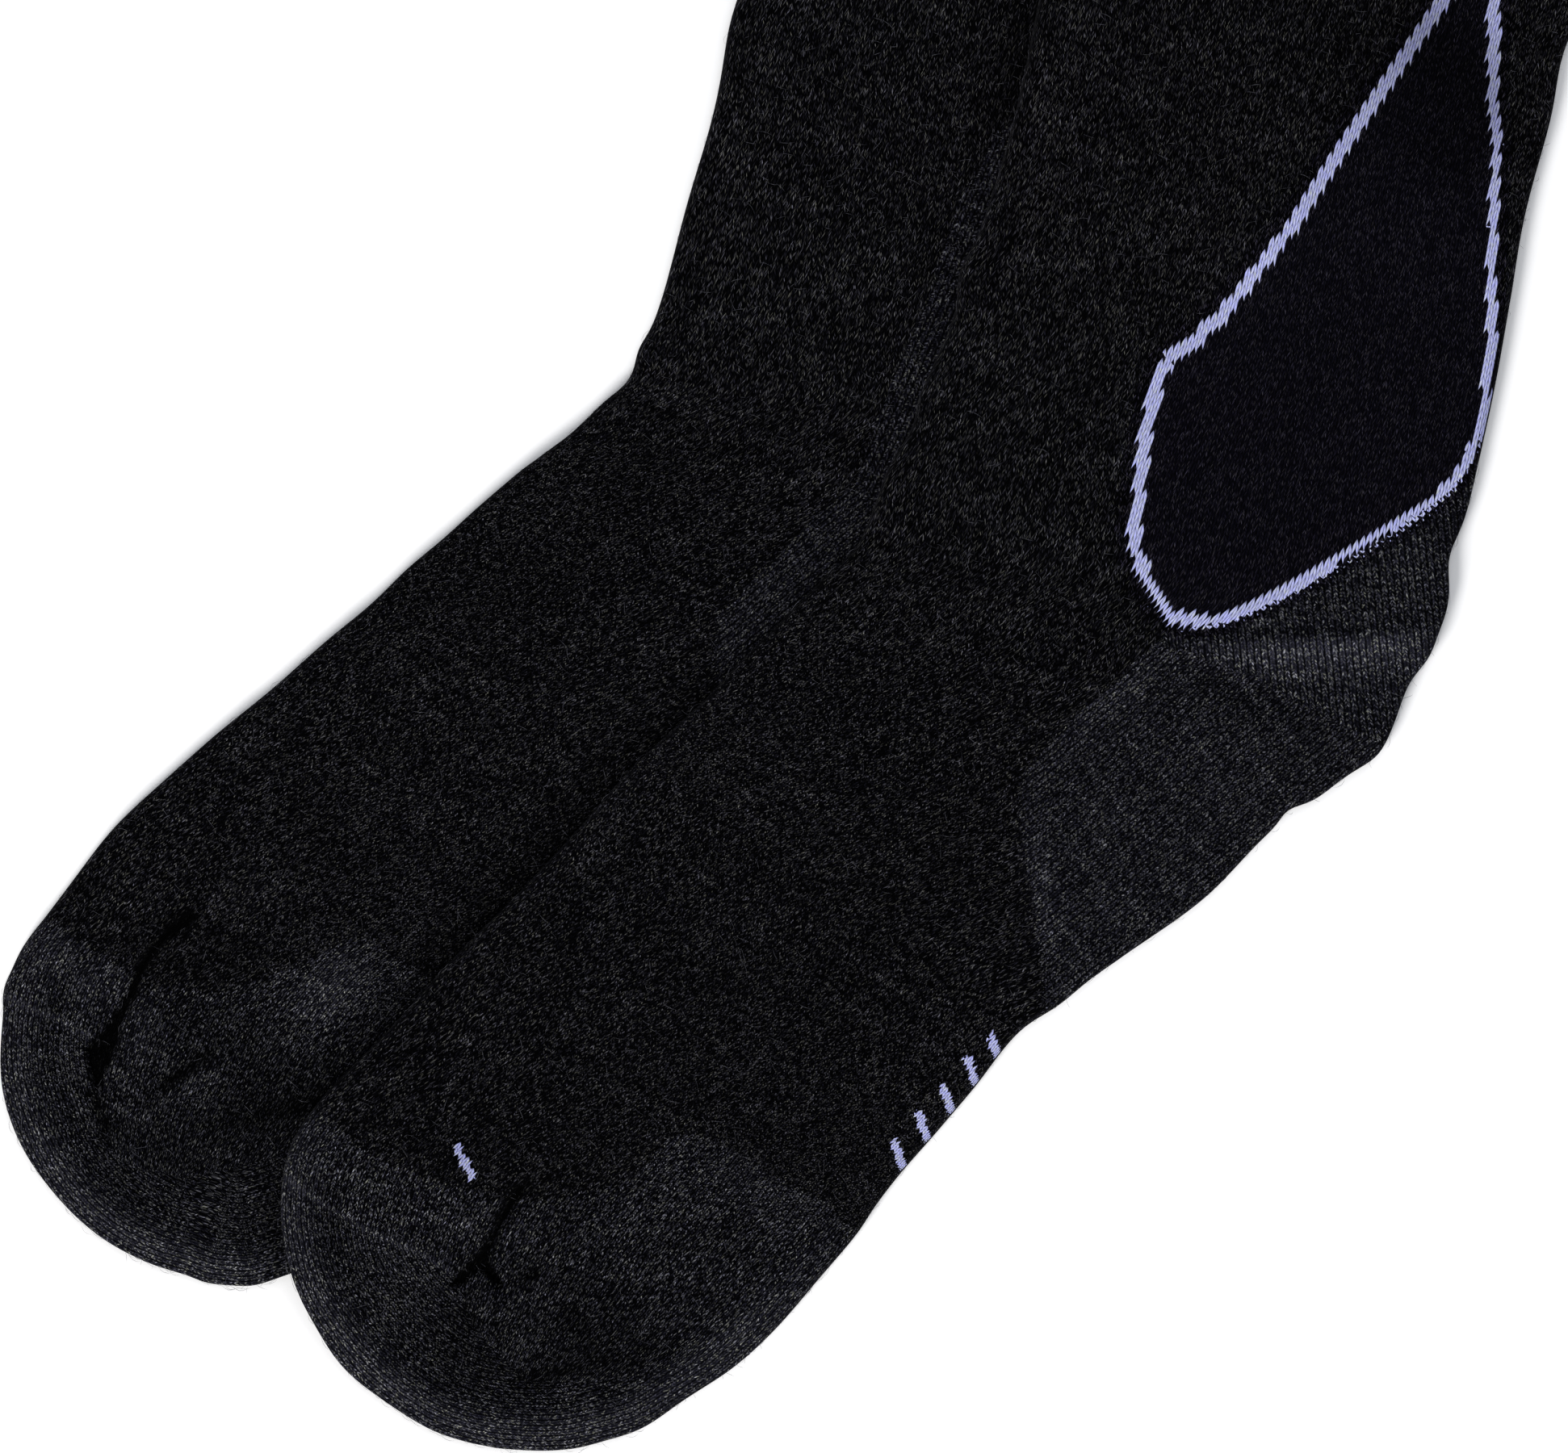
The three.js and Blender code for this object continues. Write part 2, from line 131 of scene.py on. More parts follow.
# Stitches
WALES = 100
WALE = 1.05
LEG_COURSE = 2.12
FOOT_COURSE = 1.14
COURSES = [(0, LEG_COURSE), (11, LEG_COURSE), (15, FOOT_COURSE), (40, FOOT_COURSE)]
HEEL_COURSE = 0.9
FOOT_SIDE_WALE = 1.19
LEG_SIDE_WALE = 1.48
TOE_WALE = 1.1
COURSE_PLACE = 0.4

# Folds that show, in pixels. Each has its kind, its line, its height and width in millimetres, where
# along the line it is strongest, and its brightness there: painted light above one, painted shade below
# one. A ridge is lifted and a trough pressed in. A step is a ridge that falls off sharply on its left.
UPPER_FOLDS = [
    ("ridge", [(628, 1452), (600, 1500), (560, 1560)], 0.5, 2.6, 0.5, 1.2),
    ("trough", [(668, 1446), (650, 1466), (636, 1486), (600, 1530)], -0.4, 1.6, 0.3, 0.4),
    ("trough", [(614, 1590), (629, 1587), (641, 1583), (657, 1584), (664, 1576), (661, 1560)],
     -0.9, 1.2, 0.6, 0.2),
    ("trough", [(572, 1606), (577, 1617), (583, 1634), (592, 1650)], -0.8, 1.6, 0.5, 0.35),
    ("trough", [(690, 1618), (700, 1628), (722, 1640), (728, 1656), (730, 1676)], -0.6, 2.2, 0.5, 0.5),
    ("trough", [(600, 1690), (650, 1709), (686, 1700), (700, 1696), (732, 1684), (775, 1660)],
     -1.4, 2.6, 0.45, 0.3),
    ("trough", [(556, 1600), (548, 1650), (580, 1690), (640, 1712)], -0.7, 4.0, 0.5, 0.62),
    ("trough", [(720, 1690), (780, 1680), (850, 1640)], -0.7, 4.0, 0.4, 0.65),
    ("ridge", [(600, 1606), (635, 1606), (670, 1598), (700, 1580)], 0.6, 2.2, 0.5, 1.35),
    ("ridge", [(652, 1492), (656, 1520), (650, 1550)], 1.2, 4.2, 0.5, 1.45),
    ("ridge", [(690, 1500), (740, 1510), (790, 1500)], 0.5, 6.0, 0.4, 1.15),
    ("step", [(1430, 802), (1500, 797), (1570, 795), (1640, 793), (1700, 790), (1810, 778)],
     1.7, 5.8, 0.5, 2.9),
    ("trough", [(1480, 778), (1560, 772), (1640, 768), (1720, 760), (1800, 740)], -0.6, 1.3, 0.6, 1.2),
    ("ridge", [(1690, 700), (1740, 690), (1800, 660)], 0.4, 4.0, 0.5, 1.3),
    ("trough", [(1445, 806), (1480, 836), (1552, 866), (1615, 892), (1700, 915)], -0.5, 3.0, 0.3, 0.72),
    ("ridge", [(1445, 850), (1480, 920), (1530, 1020)], 0.4, 1.4, 0.5, 1.35),
    ("ridge", [(1272, 975), (1286, 1090), (1312, 1190)], 0.6, 4.5, 0.5, 1.55),
    ("ridge", [(1272, 965), (1330, 905), (1400, 850), (1450, 800)], 0.4, 2.6, 0.4, 1.35),
    ("ridge", [(1115, 560), (1180, 600), (1240, 660), (1310, 740)], 0.45, 4.5, 0.4, 1.12),
    ("trough", [(1120, 600), (1200, 680), (1270, 780)], -0.35, 4.0, 0.4, 0.9),
    ("trough", [(1680, 130), (1740, 170), (1850, 214)], -0.5, 3.0, 0.6, 0.75),
]
UNDER_FOLDS = [
    ("trough", [(258, 1122), (236, 1130), (212, 1146), (185, 1172)], -0.6, 2.0, 0.35, 0.3),
    ("trough", [(112, 1320), (119, 1345), (122, 1372), (134, 1394), (124, 1418), (119, 1440)],
     -0.9, 2.2, 0.3, 0.25),
    ("trough", [(170, 1341), (185, 1345), (198, 1349), (213, 1336), (234, 1323), (252, 1308), (275, 1290)],
     -1.5, 1.5, 0.4, 0.04),
    ("trough", [(236, 1410), (258, 1414), (280, 1394), (315, 1381), (341, 1378), (361, 1368), (389, 1366),
                (420, 1340)], -1.3, 2.6, 0.6, 0.22),
    ("trough", [(130, 1400), (160, 1440), (230, 1450), (300, 1430), (360, 1400)], -0.8, 5.0, 0.45, 0.62),
    ("ridge", [(200, 1362), (232, 1346), (262, 1332), (300, 1322)], 0.8, 2.2, 0.4, 1.6),
    ("ridge", [(180, 1216), (186, 1250), (176, 1290), (160, 1320)], 1.3, 3.4, 0.4, 1.45),
    ("ridge", [(330, 1285), (370, 1262), (420, 1222), (460, 1180)], 0.7, 6.0, 0.55, 1.5),
    ("ridge", [(262, 1146), (300, 1110), (340, 1080)], 0.7, 5.0, 0.4, 1.2),
    ("ridge", [(120, 1180), (100, 1230), (98, 1270)], 0.5, 4.0, 0.5, 1.2),
    ("trough", [(240, 1170), (300, 1186), (340, 1176)], -0.4, 4.0, 0.5, 0.75),
    ("ridge", [(800, 470), (860, 520), (930, 590)], 0.4, 5.0, 0.2, 1.1),
    ("trough", [(768, 490), (830, 516), (890, 549), (950, 580)], -0.6, 1.8, 0.3, 0.62),
    ("trough", [(742, 516), (800, 545), (860, 580)], -0.4, 1.6, 0.3, 0.75),
]
# Deep gaps beside a lip of cloth, as closed outlines in pixels
UPPER_GAPS = [[
    (640, 1468), (627, 1491), (615, 1512), (607, 1530), (595, 1549), (581, 1562), (572, 1574), (558, 1589),
    (567, 1592), (577, 1589), (586, 1577), (595, 1575), (604, 1583), (616, 1595), (623, 1591), (615, 1578),
    (607, 1566), (607, 1552), (615, 1535), (624, 1514), (635, 1496), (645, 1480), (652, 1468),
]]
UNDER_GAPS = [[
    (214, 1144), (203, 1153), (188, 1169), (172, 1190), (165, 1210), (159, 1225), (144, 1250), (129, 1274),
    (116, 1289), (107, 1300), (109, 1313), (113, 1332), (120, 1346), (126, 1342), (128, 1332), (135, 1319),
    (143, 1304), (149, 1283), (153, 1264), (162, 1246), (170, 1230), (175, 1210), (188, 1191), (203, 1169),
    (216, 1159), (234, 1146), (246, 1137), (240, 1131), (226, 1138),
]]
# Small moves of a sock's edge: place in pixels, move in mm, width in mm
UPPER_MOVES = [
    ((1802, 692), (-2.0, 0.3), 6.5), ((1938, 70), (-1.3, 0.3), 9.0), ((1598, 1003), (-1.1, 1.0), 3.6),
    ((860, 1730), (-0.5, 0.7), 12.0), ((427, 1693), (-0.8, -0.6), 10.0), ((1307, 1240), (0.5, -0.9), 7.0),
    ((1700, 933), (0.8, -0.6), 5.0), ((1760, 813), (1.1, -0.3), 5.0), ((1116, 535), (2.2, 0.8), 6.0),
    ((1207, 338), (-2.0, 0.0), 6.0),
]
UNDER_MOVES = [
    ((22, 1390), (-1.2, -0.2), 12.0), ((911, 27), (-0.8, 0.1), 9.0), ((493, 707), (-0.5, 0.7), 9.0),
    ((667, 560), (0.5, -0.6), 5.0), ((793, 433), (-0.8, 0.2), 4.0), ((7, 1227), (-0.8, 0.0), 4.0),
    ((120, 1013), (-0.4, 0.4), 10.0),
]
# Depth of each gap in mm, the share of the brightness that its painted shade leaves inside it, and the
# distances in mm from its outline over which it goes from open to closed
GAP_DEPTH = 1.7
GAP_SHADE = 0.03
GAP_EDGE = (-0.2, 0.45)
# How wide a step is on its sharp side, and the share of a fold's far part after which it fades
STEP_EDGE = 0.9
FOLD_FADE = 0.55
# Light on the rim of each toe: its share, its place inside the edge and its width, what is left of it
# away from the light, and how far down the plane it starts and is full on each sock
RIM_LIGHT = {"share": 0.68, "inset": 4.2, "width": 5.6, "least": 0.4, "upper": (95, 137), "under": (60, 100)}
VALLEY_SHADE = 0.2
# Unevenness of the cloth: height of its lumps, their length along the sock, their number across it
# and a seed, and then a wider bulge in the plane
LUMPS = [(0.17, 11.0, 3.0, 11), (0.1, 4.6, 5.0, 12)]
BULGE = {"height": 0.2, "size": 23.0, "seed": 13}
# Folds further up both legs, in the same form, with their painted light and shade
HIDDEN_FOLDS = [
    ("trough", [(1560, -420), (1660, -500), (1790, -530)], -0.5, 4.0, 0.5, 0.85),
    ("ridge", [(1540, -360), (1650, -430), (1800, -460)], 0.5, 6.0, 0.5, 1.1),
    ("trough", [(1980, -760), (2080, -700), (2150, -690)], -0.45, 4.0, 0.4, 0.85),
    ("ridge", [(1180, -560), (1290, -600), (1400, -590)], 0.5, 6.0, 0.5, 1.1),
]

# Areas of the reinforced yarn, in pixels: each sock's toe cap and heel
UPPER_TOE = [
    (340, 1330), (396, 1379), (445, 1419), (487, 1444), (537, 1466), (586, 1475), (612, 1484), (644, 1488),
    (679, 1484), (724, 1479), (769, 1466), (800, 1444), (818, 1417), (836, 1404), (867, 1408), (898, 1421),
    (934, 1444), (970, 1465), (1014, 1485), (1041, 1511), (1061, 1526), (1160, 1600), (900, 2000),
    (100, 2000), (150, 1330),
]
UPPER_HEEL = [
    (1445, 783), (1407, 820), (1374, 853), (1337, 882), (1295, 928), (1262, 965), (1262, 1011), (1270, 1065),
    (1279, 1110), (1283, 1148), (1289, 1181), (1291, 1218), (1295, 1251), (1310, 1400), (1700, 1200),
    (1950, 900), (1950, 560), (1822, 575), (1790, 612), (1711, 670), (1621, 724), (1528, 770), (1474, 780),
]
UNDER_TOE = [
    (-60, 1040), (56, 1138), (97, 1168), (133, 1189), (163, 1204), (173, 1219), (204, 1224), (255, 1230),
    (306, 1219), (347, 1204), (383, 1189), (413, 1173), (434, 1161), (459, 1168), (490, 1189), (510, 1204),
    (560, 1232), (620, 1290), (690, 1380), (500, 1900), (-200, 1900), (-200, 1040),
]
UNDER_HEEL = [
    (1250, 150), (1231, 173), (1190, 245), (1149, 367), (1108, 459), (1078, 541), (1057, 602), (1001, 648),
    (940, 714), (889, 765), (884, 811), (893, 900), (915, 1000), (950, 1080), (1100, 1150), (1700, 700),
    (1700, 100), (1400, 120),
]

# The back panel, bounded by the middle of its outline, and the width of that outline
PANEL = [
    (1851, -20), (1851, 0), (1851, 89), (1849, 134), (1854, 179), (1851, 250), (1847, 344), (1849, 429),
    (1842, 473), (1836, 522), (1822, 562), (1798, 600), (1755, 636), (1711, 662), (1666, 689), (1621, 716),
    (1572, 743), (1528, 761), (1501, 769), (1474, 770), (1452, 763), (1432, 743), (1418, 712), (1407, 685),
    (1405, 654), (1410, 613), (1416, 554), (1425, 509), (1434, 473), (1447, 446), (1465, 435), (1519, 384),
    (1572, 317), (1621, 250), (1671, 170), (1715, 107), (1764, 36), (1789, 0), (1822, -40), (1845, -52),
]
OUTLINE_WIDTH = 2.1
OUTLINE_SWELL = 1.3
OUTLINE_BORDER = 2.0
# The outline is wider on the panel's left: a place in pixels, a slope, and where that starts and is full
SWELL_SIDE = {"place": (1640, 560), "slope": 0.5, "start": -5, "end": 15}

# Plain knitted marks by the toe and on the sole
MARKS = [
    [(567, 1422), (585, 1456)],
    [(1118, 1445), (1108, 1416)], [(1148, 1410), (1138, 1381)], [(1178, 1375), (1168, 1346)],
    [(1208, 1341), (1198, 1312)], [(1237, 1311), (1228, 1284)],
]
MARK_WIDTH = 1.7

# Where the wales turn: the lower heel runs along the foot, the upper heel up the leg
GORE = {
    "upper": [(1380, 779), (1445, 800), (1552, 837), (1615, 874), (1760, 950)],
    "under": [(900, 520), (1060, 600), (1200, 700), (1400, 850)],
}
FOOT_TURN = math.radians(39)
HEEL_TURN = {"upper": math.radians(96), "under": math.radians(66)}
TOE_GORE = {
    "upper": [
        (340, 1450), (408, 1496), (463, 1528), (517, 1550), (560, 1577), (585, 1640), (650, 1712),
        (743, 1712), (850, 1690), (1000, 1640), (1200, 1600),
    ],
    "under": [
        (-60, 1200), (10, 1235), (60, 1258), (117, 1286), (118, 1345), (122, 1400), (150, 1440), (230, 1460),
        (320, 1440), (420, 1400), (600, 1360),
    ],
}

# Places of painted light and painted shade, in pixels: line, half width in mm, share of the brightness.
# They stand for lit ridges, mounds and rims and for shaded valleys, folds and edges; the thin line along
# each toe gore is made lighter as well.
UPPER_TONES = [
    ([(1770, 40), (1830, 120)], 12.0, 0.55),
    ([(1560, 330), (1620, 300), (1720, 300)], 14.0, 1.12),
    ([(560, 1640), (660, 1660), (760, 1650)], 9.0, 0.68),
    ([(700, 1580), (780, 1600)], 8.0, 0.8),
    ([(357, 1460), (408, 1496), (463, 1528), (517, 1550), (556, 1574)], 0.7, 1.9),
    ([(640, 1560), (700, 1620)], 12.0, 0.86),
    ([(1620, 865), (1720, 840)], 9.0, 1.15),
    ([(1700, 60), (1800, 160)], 16.0, 0.85),
    ([(900, 1450), (960, 1520)], 7.0, 1.2),
    ([(390, 1345), (470, 1395), (560, 1435)], 4.0, 0.85),
    ([(395, 1410), (470, 1455), (560, 1488)], 4.5, 1.04),
    ([(640, 1420), (900, 1250), (1180, 1050)], 22.0, 0.84),
    ([(480, 1330), (580, 1240), (700, 1130)], 6.0, 0.8),
    ([(860, 1530), (960, 1560)], 12.0, 0.86),
    ([(1292, -20), (1287, 17), (1270, 90), (1253, 169)], 1.2, 0.6),
    ([(700, 1540), (860, 1530)], 8.0, 0.92),
]
UNDER_TONES = [
    ([(170, 1390), (240, 1400), (330, 1370), (390, 1330)], 9.0, 0.6),
    ([(250, 1280), (320, 1320)], 7.0, 0.75),
    ([(6, 1235), (60, 1258), (117, 1288)], 0.7, 1.9),
    ([(1250, 170), (1210, 250), (1170, 345), (1120, 455), (1085, 550), (1057, 605)], 5.0, 0.86),
    ([(1030, 665), (1000, 695), (930, 765)], 5.0, 0.95),
    ([(70, 1105), (120, 1140), (165, 1165)], 4.0, 0.8),
    ([(50, 1165), (100, 1200), (150, 1230)], 4.5, 1.3),
    ([(220, 1260), (300, 1290)], 10.0, 0.75),
    ([(600, 760), (700, 700), (780, 620)], 14.0, 0.88),
    ([(180, 1190), (240, 1190), (300, 1180)], 6.0, 0.8),
]
# Painted shadow on the under sock beside the upper one, strongest above and below two heights y, and the
# painted light on the edge of the upper sock where its foot lies over the under one
CONTACT = {"share": 0.5, "between": 0.4, "place": 1.6, "width": 5.6, "above": (116, 133), "below": (0, 26)}
UNCOVERED = (-3.0, 0.5)
EDGE = {"share": 0.15, "place": 2.0, "width": 2.4, "inside": (-2.0, 6.0)}
# Distance of a point that is far from any border, with no slope
FAR = (50.0, 0, 0)

# Yarn colours, linear, and the tints of the cooler and the warmer fibres
MAIN = (0.0052, 0.0051, 0.0062, 1)
REINFORCED = (0.0099, 0.0099, 0.0121, 1)
PANEL_YARN = (0.0032, 0.0029, 0.0046, 1)
LILAC = (0.40, 0.42, 0.57, 1)
COOL = (0.93, 0.92, 1.42, 1)
WARM = (1.05, 1.06, 0.72, 1)
# Warmth of a fibre by chance, where the cloth is lit, and by its brightness
WARMTH = {"chance": 0.5, "lit": 0.4, "bright": (0.2, 2.6, 0.0, 0.5)}

# A stitch's legs: how steep they are, how far every second wale is shifted, and how round they are
STITCH_SLOPE = 0.75
LOOP_SHIFT = 0.5
LEG_ROUND = 0.6
# A stitch that is shorter than this, in mm, lies in a turned heel
TURNED_BELOW = 1.0
# Length of a fleck in mm, and the lumps of its strands for a leg across and for a mm along, with the
# steps from a leg and a row to the next
FLECK = 0.28
STRAND_LUMPS = (1.8, 2.8)
STRAND_STEPS = (7.3, 5.7)
# Noise over many stitches: lumps for a wale and for a course, and a slice of the noise
YARN_RUN = (0.08, 0.6, 7.0)
STREAK = (0.05, 3.7, 3.0)
PATCH = (0.035, 0.13, 0.0)
# Power and gain of a fleck's brightness in the main yarn, and how much less each is in the reinforced
# yarn and in a turned heel
FLECK_POWER = (9.2, 2.0, 1.7)
FLECK_GAIN = (9.85, 2.0, 2.15)
PANEL_POWER = 8.0
# Two numbers each: what a turned heel or the reinforced yarn adds, and the value in the main yarn
FLECK_LEAST = (0.06, 0.04)
EVEN = (-0.25, 0.45)
DIP = (0.22, 0.03)
CROWN = (-0.15, 1.5)
LINES = (0.75, 0.25)
PANEL_GAIN = (6.0, 0.32)
# Spans of brightness: a value's low and high end, and the share of the brightness at each
SPREAD = {
    "strand": (0.32, 0.68, 0.5, 1.5),
    "stitch": (0.0, 1.0, 0.7, 1.3),
    "run": (0.3, 0.7, 0.88, 1.12),
    "patch": (0.3, 0.7, 0.92, 1.08),
    "streak": (0.54, 0.66, 0.9, 1.5),
    "light_fibre": (0.0, 1.0, 0.8, 1.15),
    "light_strand": (0.3, 0.7, 0.75, 1.25),
    "light_leg": (0.15, 0.8, 0.12, 1.05),
    "rough": (0.0, 1.0, 0.88, 1.0),
}
# Where lit cloth, under the painted light, starts to look even and is most even, where a leg's painted shade
# starts and ends, and the line of painted shade beside each wale: where it starts, and what it adds at a
# wale's middle and takes at its side
LIT_TONE = (1.0, 2.4)
LEG_SHADE = (0.2, 0.88)
WALE_LINE = {"start": 0.4, "middle": 0.45, "side": -0.95}

# Fibres of the fuzz: points along, sides, lowest height, and the ranges of length, curl, rise and
# half width. Length and half width are in mm, and the others are shares of the length.
FIBRE_POINTS = 5
FIBRE_SIDES = 3
FIBRE_FLOOR = 0.0001
FIBRE_LENGTH = (0.8, 3.6)
FIBRE_CURL = 0.5
FIBRE_RISE = (0.05, 0.35)
FIBRE_WIDTH = (0.018, 0.038)
# They grow on faces that look up at least so far, and more of them where the cloth turns away
FIBRE_FACING = -0.1
FIBRE_AT_EDGE = 3
# Direction of the courses in the foot and in the leg, where one turns into the other, and how far
# fibres turn from it
COURSE_TURN = (math.radians(-48), math.radians(-12))
ANKLE = (0, 90)
FIBRE_SPREAD = 0.7
FUZZ_COUNT = {"under": 4500, "upper": 6000}
FUZZ_SEED = {"under": 41, "upper": 42}
FUZZ_CLEAR = {"under": 0.5, "upper": 3.0}
FUZZ_DARK = (0.03, 0.03, 0.04, 1)
FUZZ_LIGHT = (0.13, 0.13, 0.15, 1)
FUZZ_LUMPS = 900.0

CAMERA_HEIGHT = 3.0
SOCK_HEIGHT = 0.006
SENSOR = 36.0
VIEW_END = 20.0
SKY = (0.93, 0.95, 1.0, 1)
SKY_STRENGTH = 0.45
FLOOR_SIDE = 6.0
FLOOR_DROP = 0.0005
PAPER = ((0.93, 0.93, 0.93, 1), (0.95, 0.95, 0.95, 1))
WHITE = (1, 1, 1, 1)
SHEEN_TINT = (0.8, 0.8, 0.9, 1)


def smooth(value, start, end):
    """Smooth step from 0 at start to 1 at end."""
    share = np.clip((value - start) / (end - start), 0, 1)
    return share * share * (3 - 2 * share)


def bump(distance, width):
    return np.exp(-((distance / width) ** 2))


def pixels(points):
    """Points of the photograph as millimetres in its plane."""
    return (np.asarray(points, float) - PHOTO_SIZE / 2) * [1, -1] / PIXELS_PER_MM


def noise(x, y, seed):
    """Smooth noise from -1 to 1, one lump for each unit square."""
    size = 61
    table = np.random.default_rng(seed).uniform(-1, 1, (size, size))
    i, j = np.floor(x).astype(int), np.floor(y).astype(int)
    a, b = x - i, y - j
    a, b = a * a * (3 - 2 * a), b * b * (3 - 2 * b)
    low = table[i % size, j % size] * (1 - a) + table[(i + 1) % size, j % size] * a
    high = table[i % size, (j + 1) % size] * (1 - a) + table[(i + 1) % size, (j + 1) % size] * a
    return low * (1 - b) + high * b


def curve(points, section):
    """Centripetal Catmull-Rom curve through points, read at section numbers."""
    ends = [[2 * points[0] - points[1]], points, [2 * points[-1] - points[-2]]]
    p = np.concatenate(ends)
    i = np.clip(np.floor(section).astype(int), 0, len(points) - 2)
    w = (section - i)[:, None]
    a, b, c, d = p[i], p[i + 1], p[i + 2], p[i + 3]

    def knot(q, r):
        return np.sqrt(np.maximum(np.linalg.norm(q - r, axis=1), 1e-4))[:, None]

    k0, k1, k2 = knot(b, a), knot(c, b), knot(d, c)
    m1 = ((b - a) / k0 - (c - a) / (k0 + k1) + (c - b) / k1) * k1
    m2 = ((c - b) / k1 - (d - b) / (k1 + k2) + (d - c) / k2) * k1
    return b + m1 * w + (3 * (c - b) - 2 * m1 - m2) * w**2 + (2 * (b - c) + m1 + m2) * w**3


def line_frame(x, y, line):
    """Distance to a line of points, positive on its left, and the place along it from 0 to 1."""
    line = np.asarray(line, float)
    steps = np.diff(line, axis=0)
    lengths = np.linalg.norm(steps, axis=1)
    total = lengths.sum()
    nearest = np.full(x.shape, np.inf)
    side = np.ones(x.shape)
    place = np.zeros(x.shape)
    before = 0.0
    for (ax, ay), (dx, dy), length in zip(line[:-1], steps, lengths):
        share = np.clip(((x - ax) * dx + (y - ay) * dy) / length**2, 0, 1)
        ex, ey = x - ax - share * dx, y - ay - share * dy
        distance = np.hypot(ex, ey)
        closer = distance < nearest
        nearest = np.where(closer, distance, nearest)
        side = np.where(closer, np.where(dx * (y - ay) - dy * (x - ax) >= 0, 1, -1), side)
        place = np.where(closer, (before + share * length) / total, place)
        before += length
    return nearest * side, place


def area_distance(x, y, outline):
    """Distance to the edge of a closed outline, negative inside it."""
    closed = np.vstack([outline, outline[:1]])
    nearest = np.abs(line_frame(x, y, closed)[0])
    inside = np.zeros(x.shape, bool)
    for (ax, ay), (bx, by) in zip(closed[:-1], closed[1:]):
        if ay != by:
            crosses = ((ay > y) != (by > y)) & (x < ax + (y - ay) / (by - ay) * (bx - ax))
            inside ^= crosses
    return np.where(inside, -nearest, nearest)


def running_total(steps):
    return np.concatenate([[0], np.cumsum(steps)])


class Sock:
    """A sock as laid: its folds' curves, its outline and what it rests on."""

    def __init__(self, name, rows, base):
        self.name, self.base = name, base
        rows = np.array(rows, float)
        middle = (rows[0, :2] + rows[0, 2:]) / 2
        calf = []
        for along, width in CALF:
            centre, half = middle + LEG_UP * along, LEG_BACK * width / 2
            calf.append(np.concatenate([centre - half, centre + half]))
        rows = np.vstack([calf, rows])
        self.front_points, self.back_points = rows[:, :2], rows[:, 2:]
        self.tip = rows[-1, :2]
        front, back = self.folds(np.arange(0, TIP, OUTLINE_STEP))
        self.outline = np.vstack([front, self.tip, back[::-1]])
        self.fine = np.linspace(0, TIP, FINE_SECTIONS)
        between = (self.fine[1:] + self.fine[:-1]) / 2
        front, back = self.folds(self.fine)
        steps = np.linalg.norm(np.diff(front + COURSE_PLACE * (back - front), axis=0), axis=1)
        self.travel = running_total(steps)
        self.courses = running_total(steps / np.interp(between, *zip(*COURSES)))
        longest = np.maximum(
            np.linalg.norm(np.diff(front, axis=0), axis=1), np.linalg.norm(np.diff(back, axis=0), axis=1)
        )
        travel = running_total(longest / np.interp(between, *zip(*STEPS)))
        self.rows = np.interp(np.linspace(0, travel[-1], math.ceil(travel[-1]) + 1), travel, self.fine)

    def folds(self, section):
        return curve(self.front_points, section), curve(self.back_points, section)


def rises(y):
    """How much thicker the under sock is below the upper one, down at its toe's rim and up at its ribs."""
    return sum(height * smooth(y, start, end) for start, end, height in RISES)


def no_base(x, y):
    return np.zeros(x.shape)


def rest_on(under):
    """Height of the floor, or of the under sock, below a point of the upper sock."""
    onward = LEG_UP * CUFF_OVERHANG
    outline = np.vstack([under.outline[0] + onward, under.outline, under.outline[-1] + onward])

    def base(x, y):
        outside = np.maximum(area_distance(x, y, outline), 0)
        high = THICKNESS + REST_GAP + rises(y)
        return high * (1 - smooth(outside, RAMP_START, RAMP_START + RAMP_LENGTH))

    return base


def relief(sock, folds, gaps, section, x, y, travel, across):
    """Height added to the upper side at points, and the painted light and shade there, as a share of the
    brightness.
    """
    toe = smooth(section, TOE_SEAM - 1, TOE_SEAM + 2)
    inside = -area_distance(x, y, sock.outline)
    puff = bump(inside - RIM_PUFF["inset"], RIM_PUFF["width"])
    valley = bump(inside - RIM_VALLEY["inset"], RIM_VALLEY["width"])
    height = toe * (RIM_PUFF["height"] * puff + RIM_VALLEY["height"] * valley)
    # Painted light on the toe's rim, weaker away from the light, and painted shade in the valley inside the
    # rim
    lit = RIM_LIGHT["least"] + (1 - RIM_LIGHT["least"]) * smooth(-y, *RIM_LIGHT[sock.name])
    rim = RIM_LIGHT["share"] * lit * bump(inside - RIM_LIGHT["inset"], RIM_LIGHT["width"])
    tone = 1 + toe * (rim - VALLEY_SHADE * valley)
    # Each fold's painted light and painted shade, by its share of the brightness
    for kind, line, high, wide, peak, share in folds:
        distance, place = line_frame(x, y, pixels(line))
        strength = smooth(place, 0, peak) * (1 - smooth(place, peak + FOLD_FADE * (1 - peak), 1))
        profile = bump(distance, wide)
        if kind == "step":
            profile = np.where(distance > 0, bump(distance, STEP_EDGE), profile)
        height += strength * high * profile
        tone *= 1 + (share - 1) * strength * profile
    # Painted shade in the deep gaps, which are also pressed in
    for gap in gaps:
        opened = 1 - smooth(area_distance(x, y, pixels(gap)), *GAP_EDGE)
        height -= GAP_DEPTH * opened
        tone *= 1 - (1 - GAP_SHADE) * opened
    for high, long, lumps, seed in LUMPS:
        height += high * noise(travel / long, across * lumps, seed)
    height += BULGE["height"] * noise(x / BULGE["size"], y / BULGE["size"], BULGE["seed"])
    return height, tone


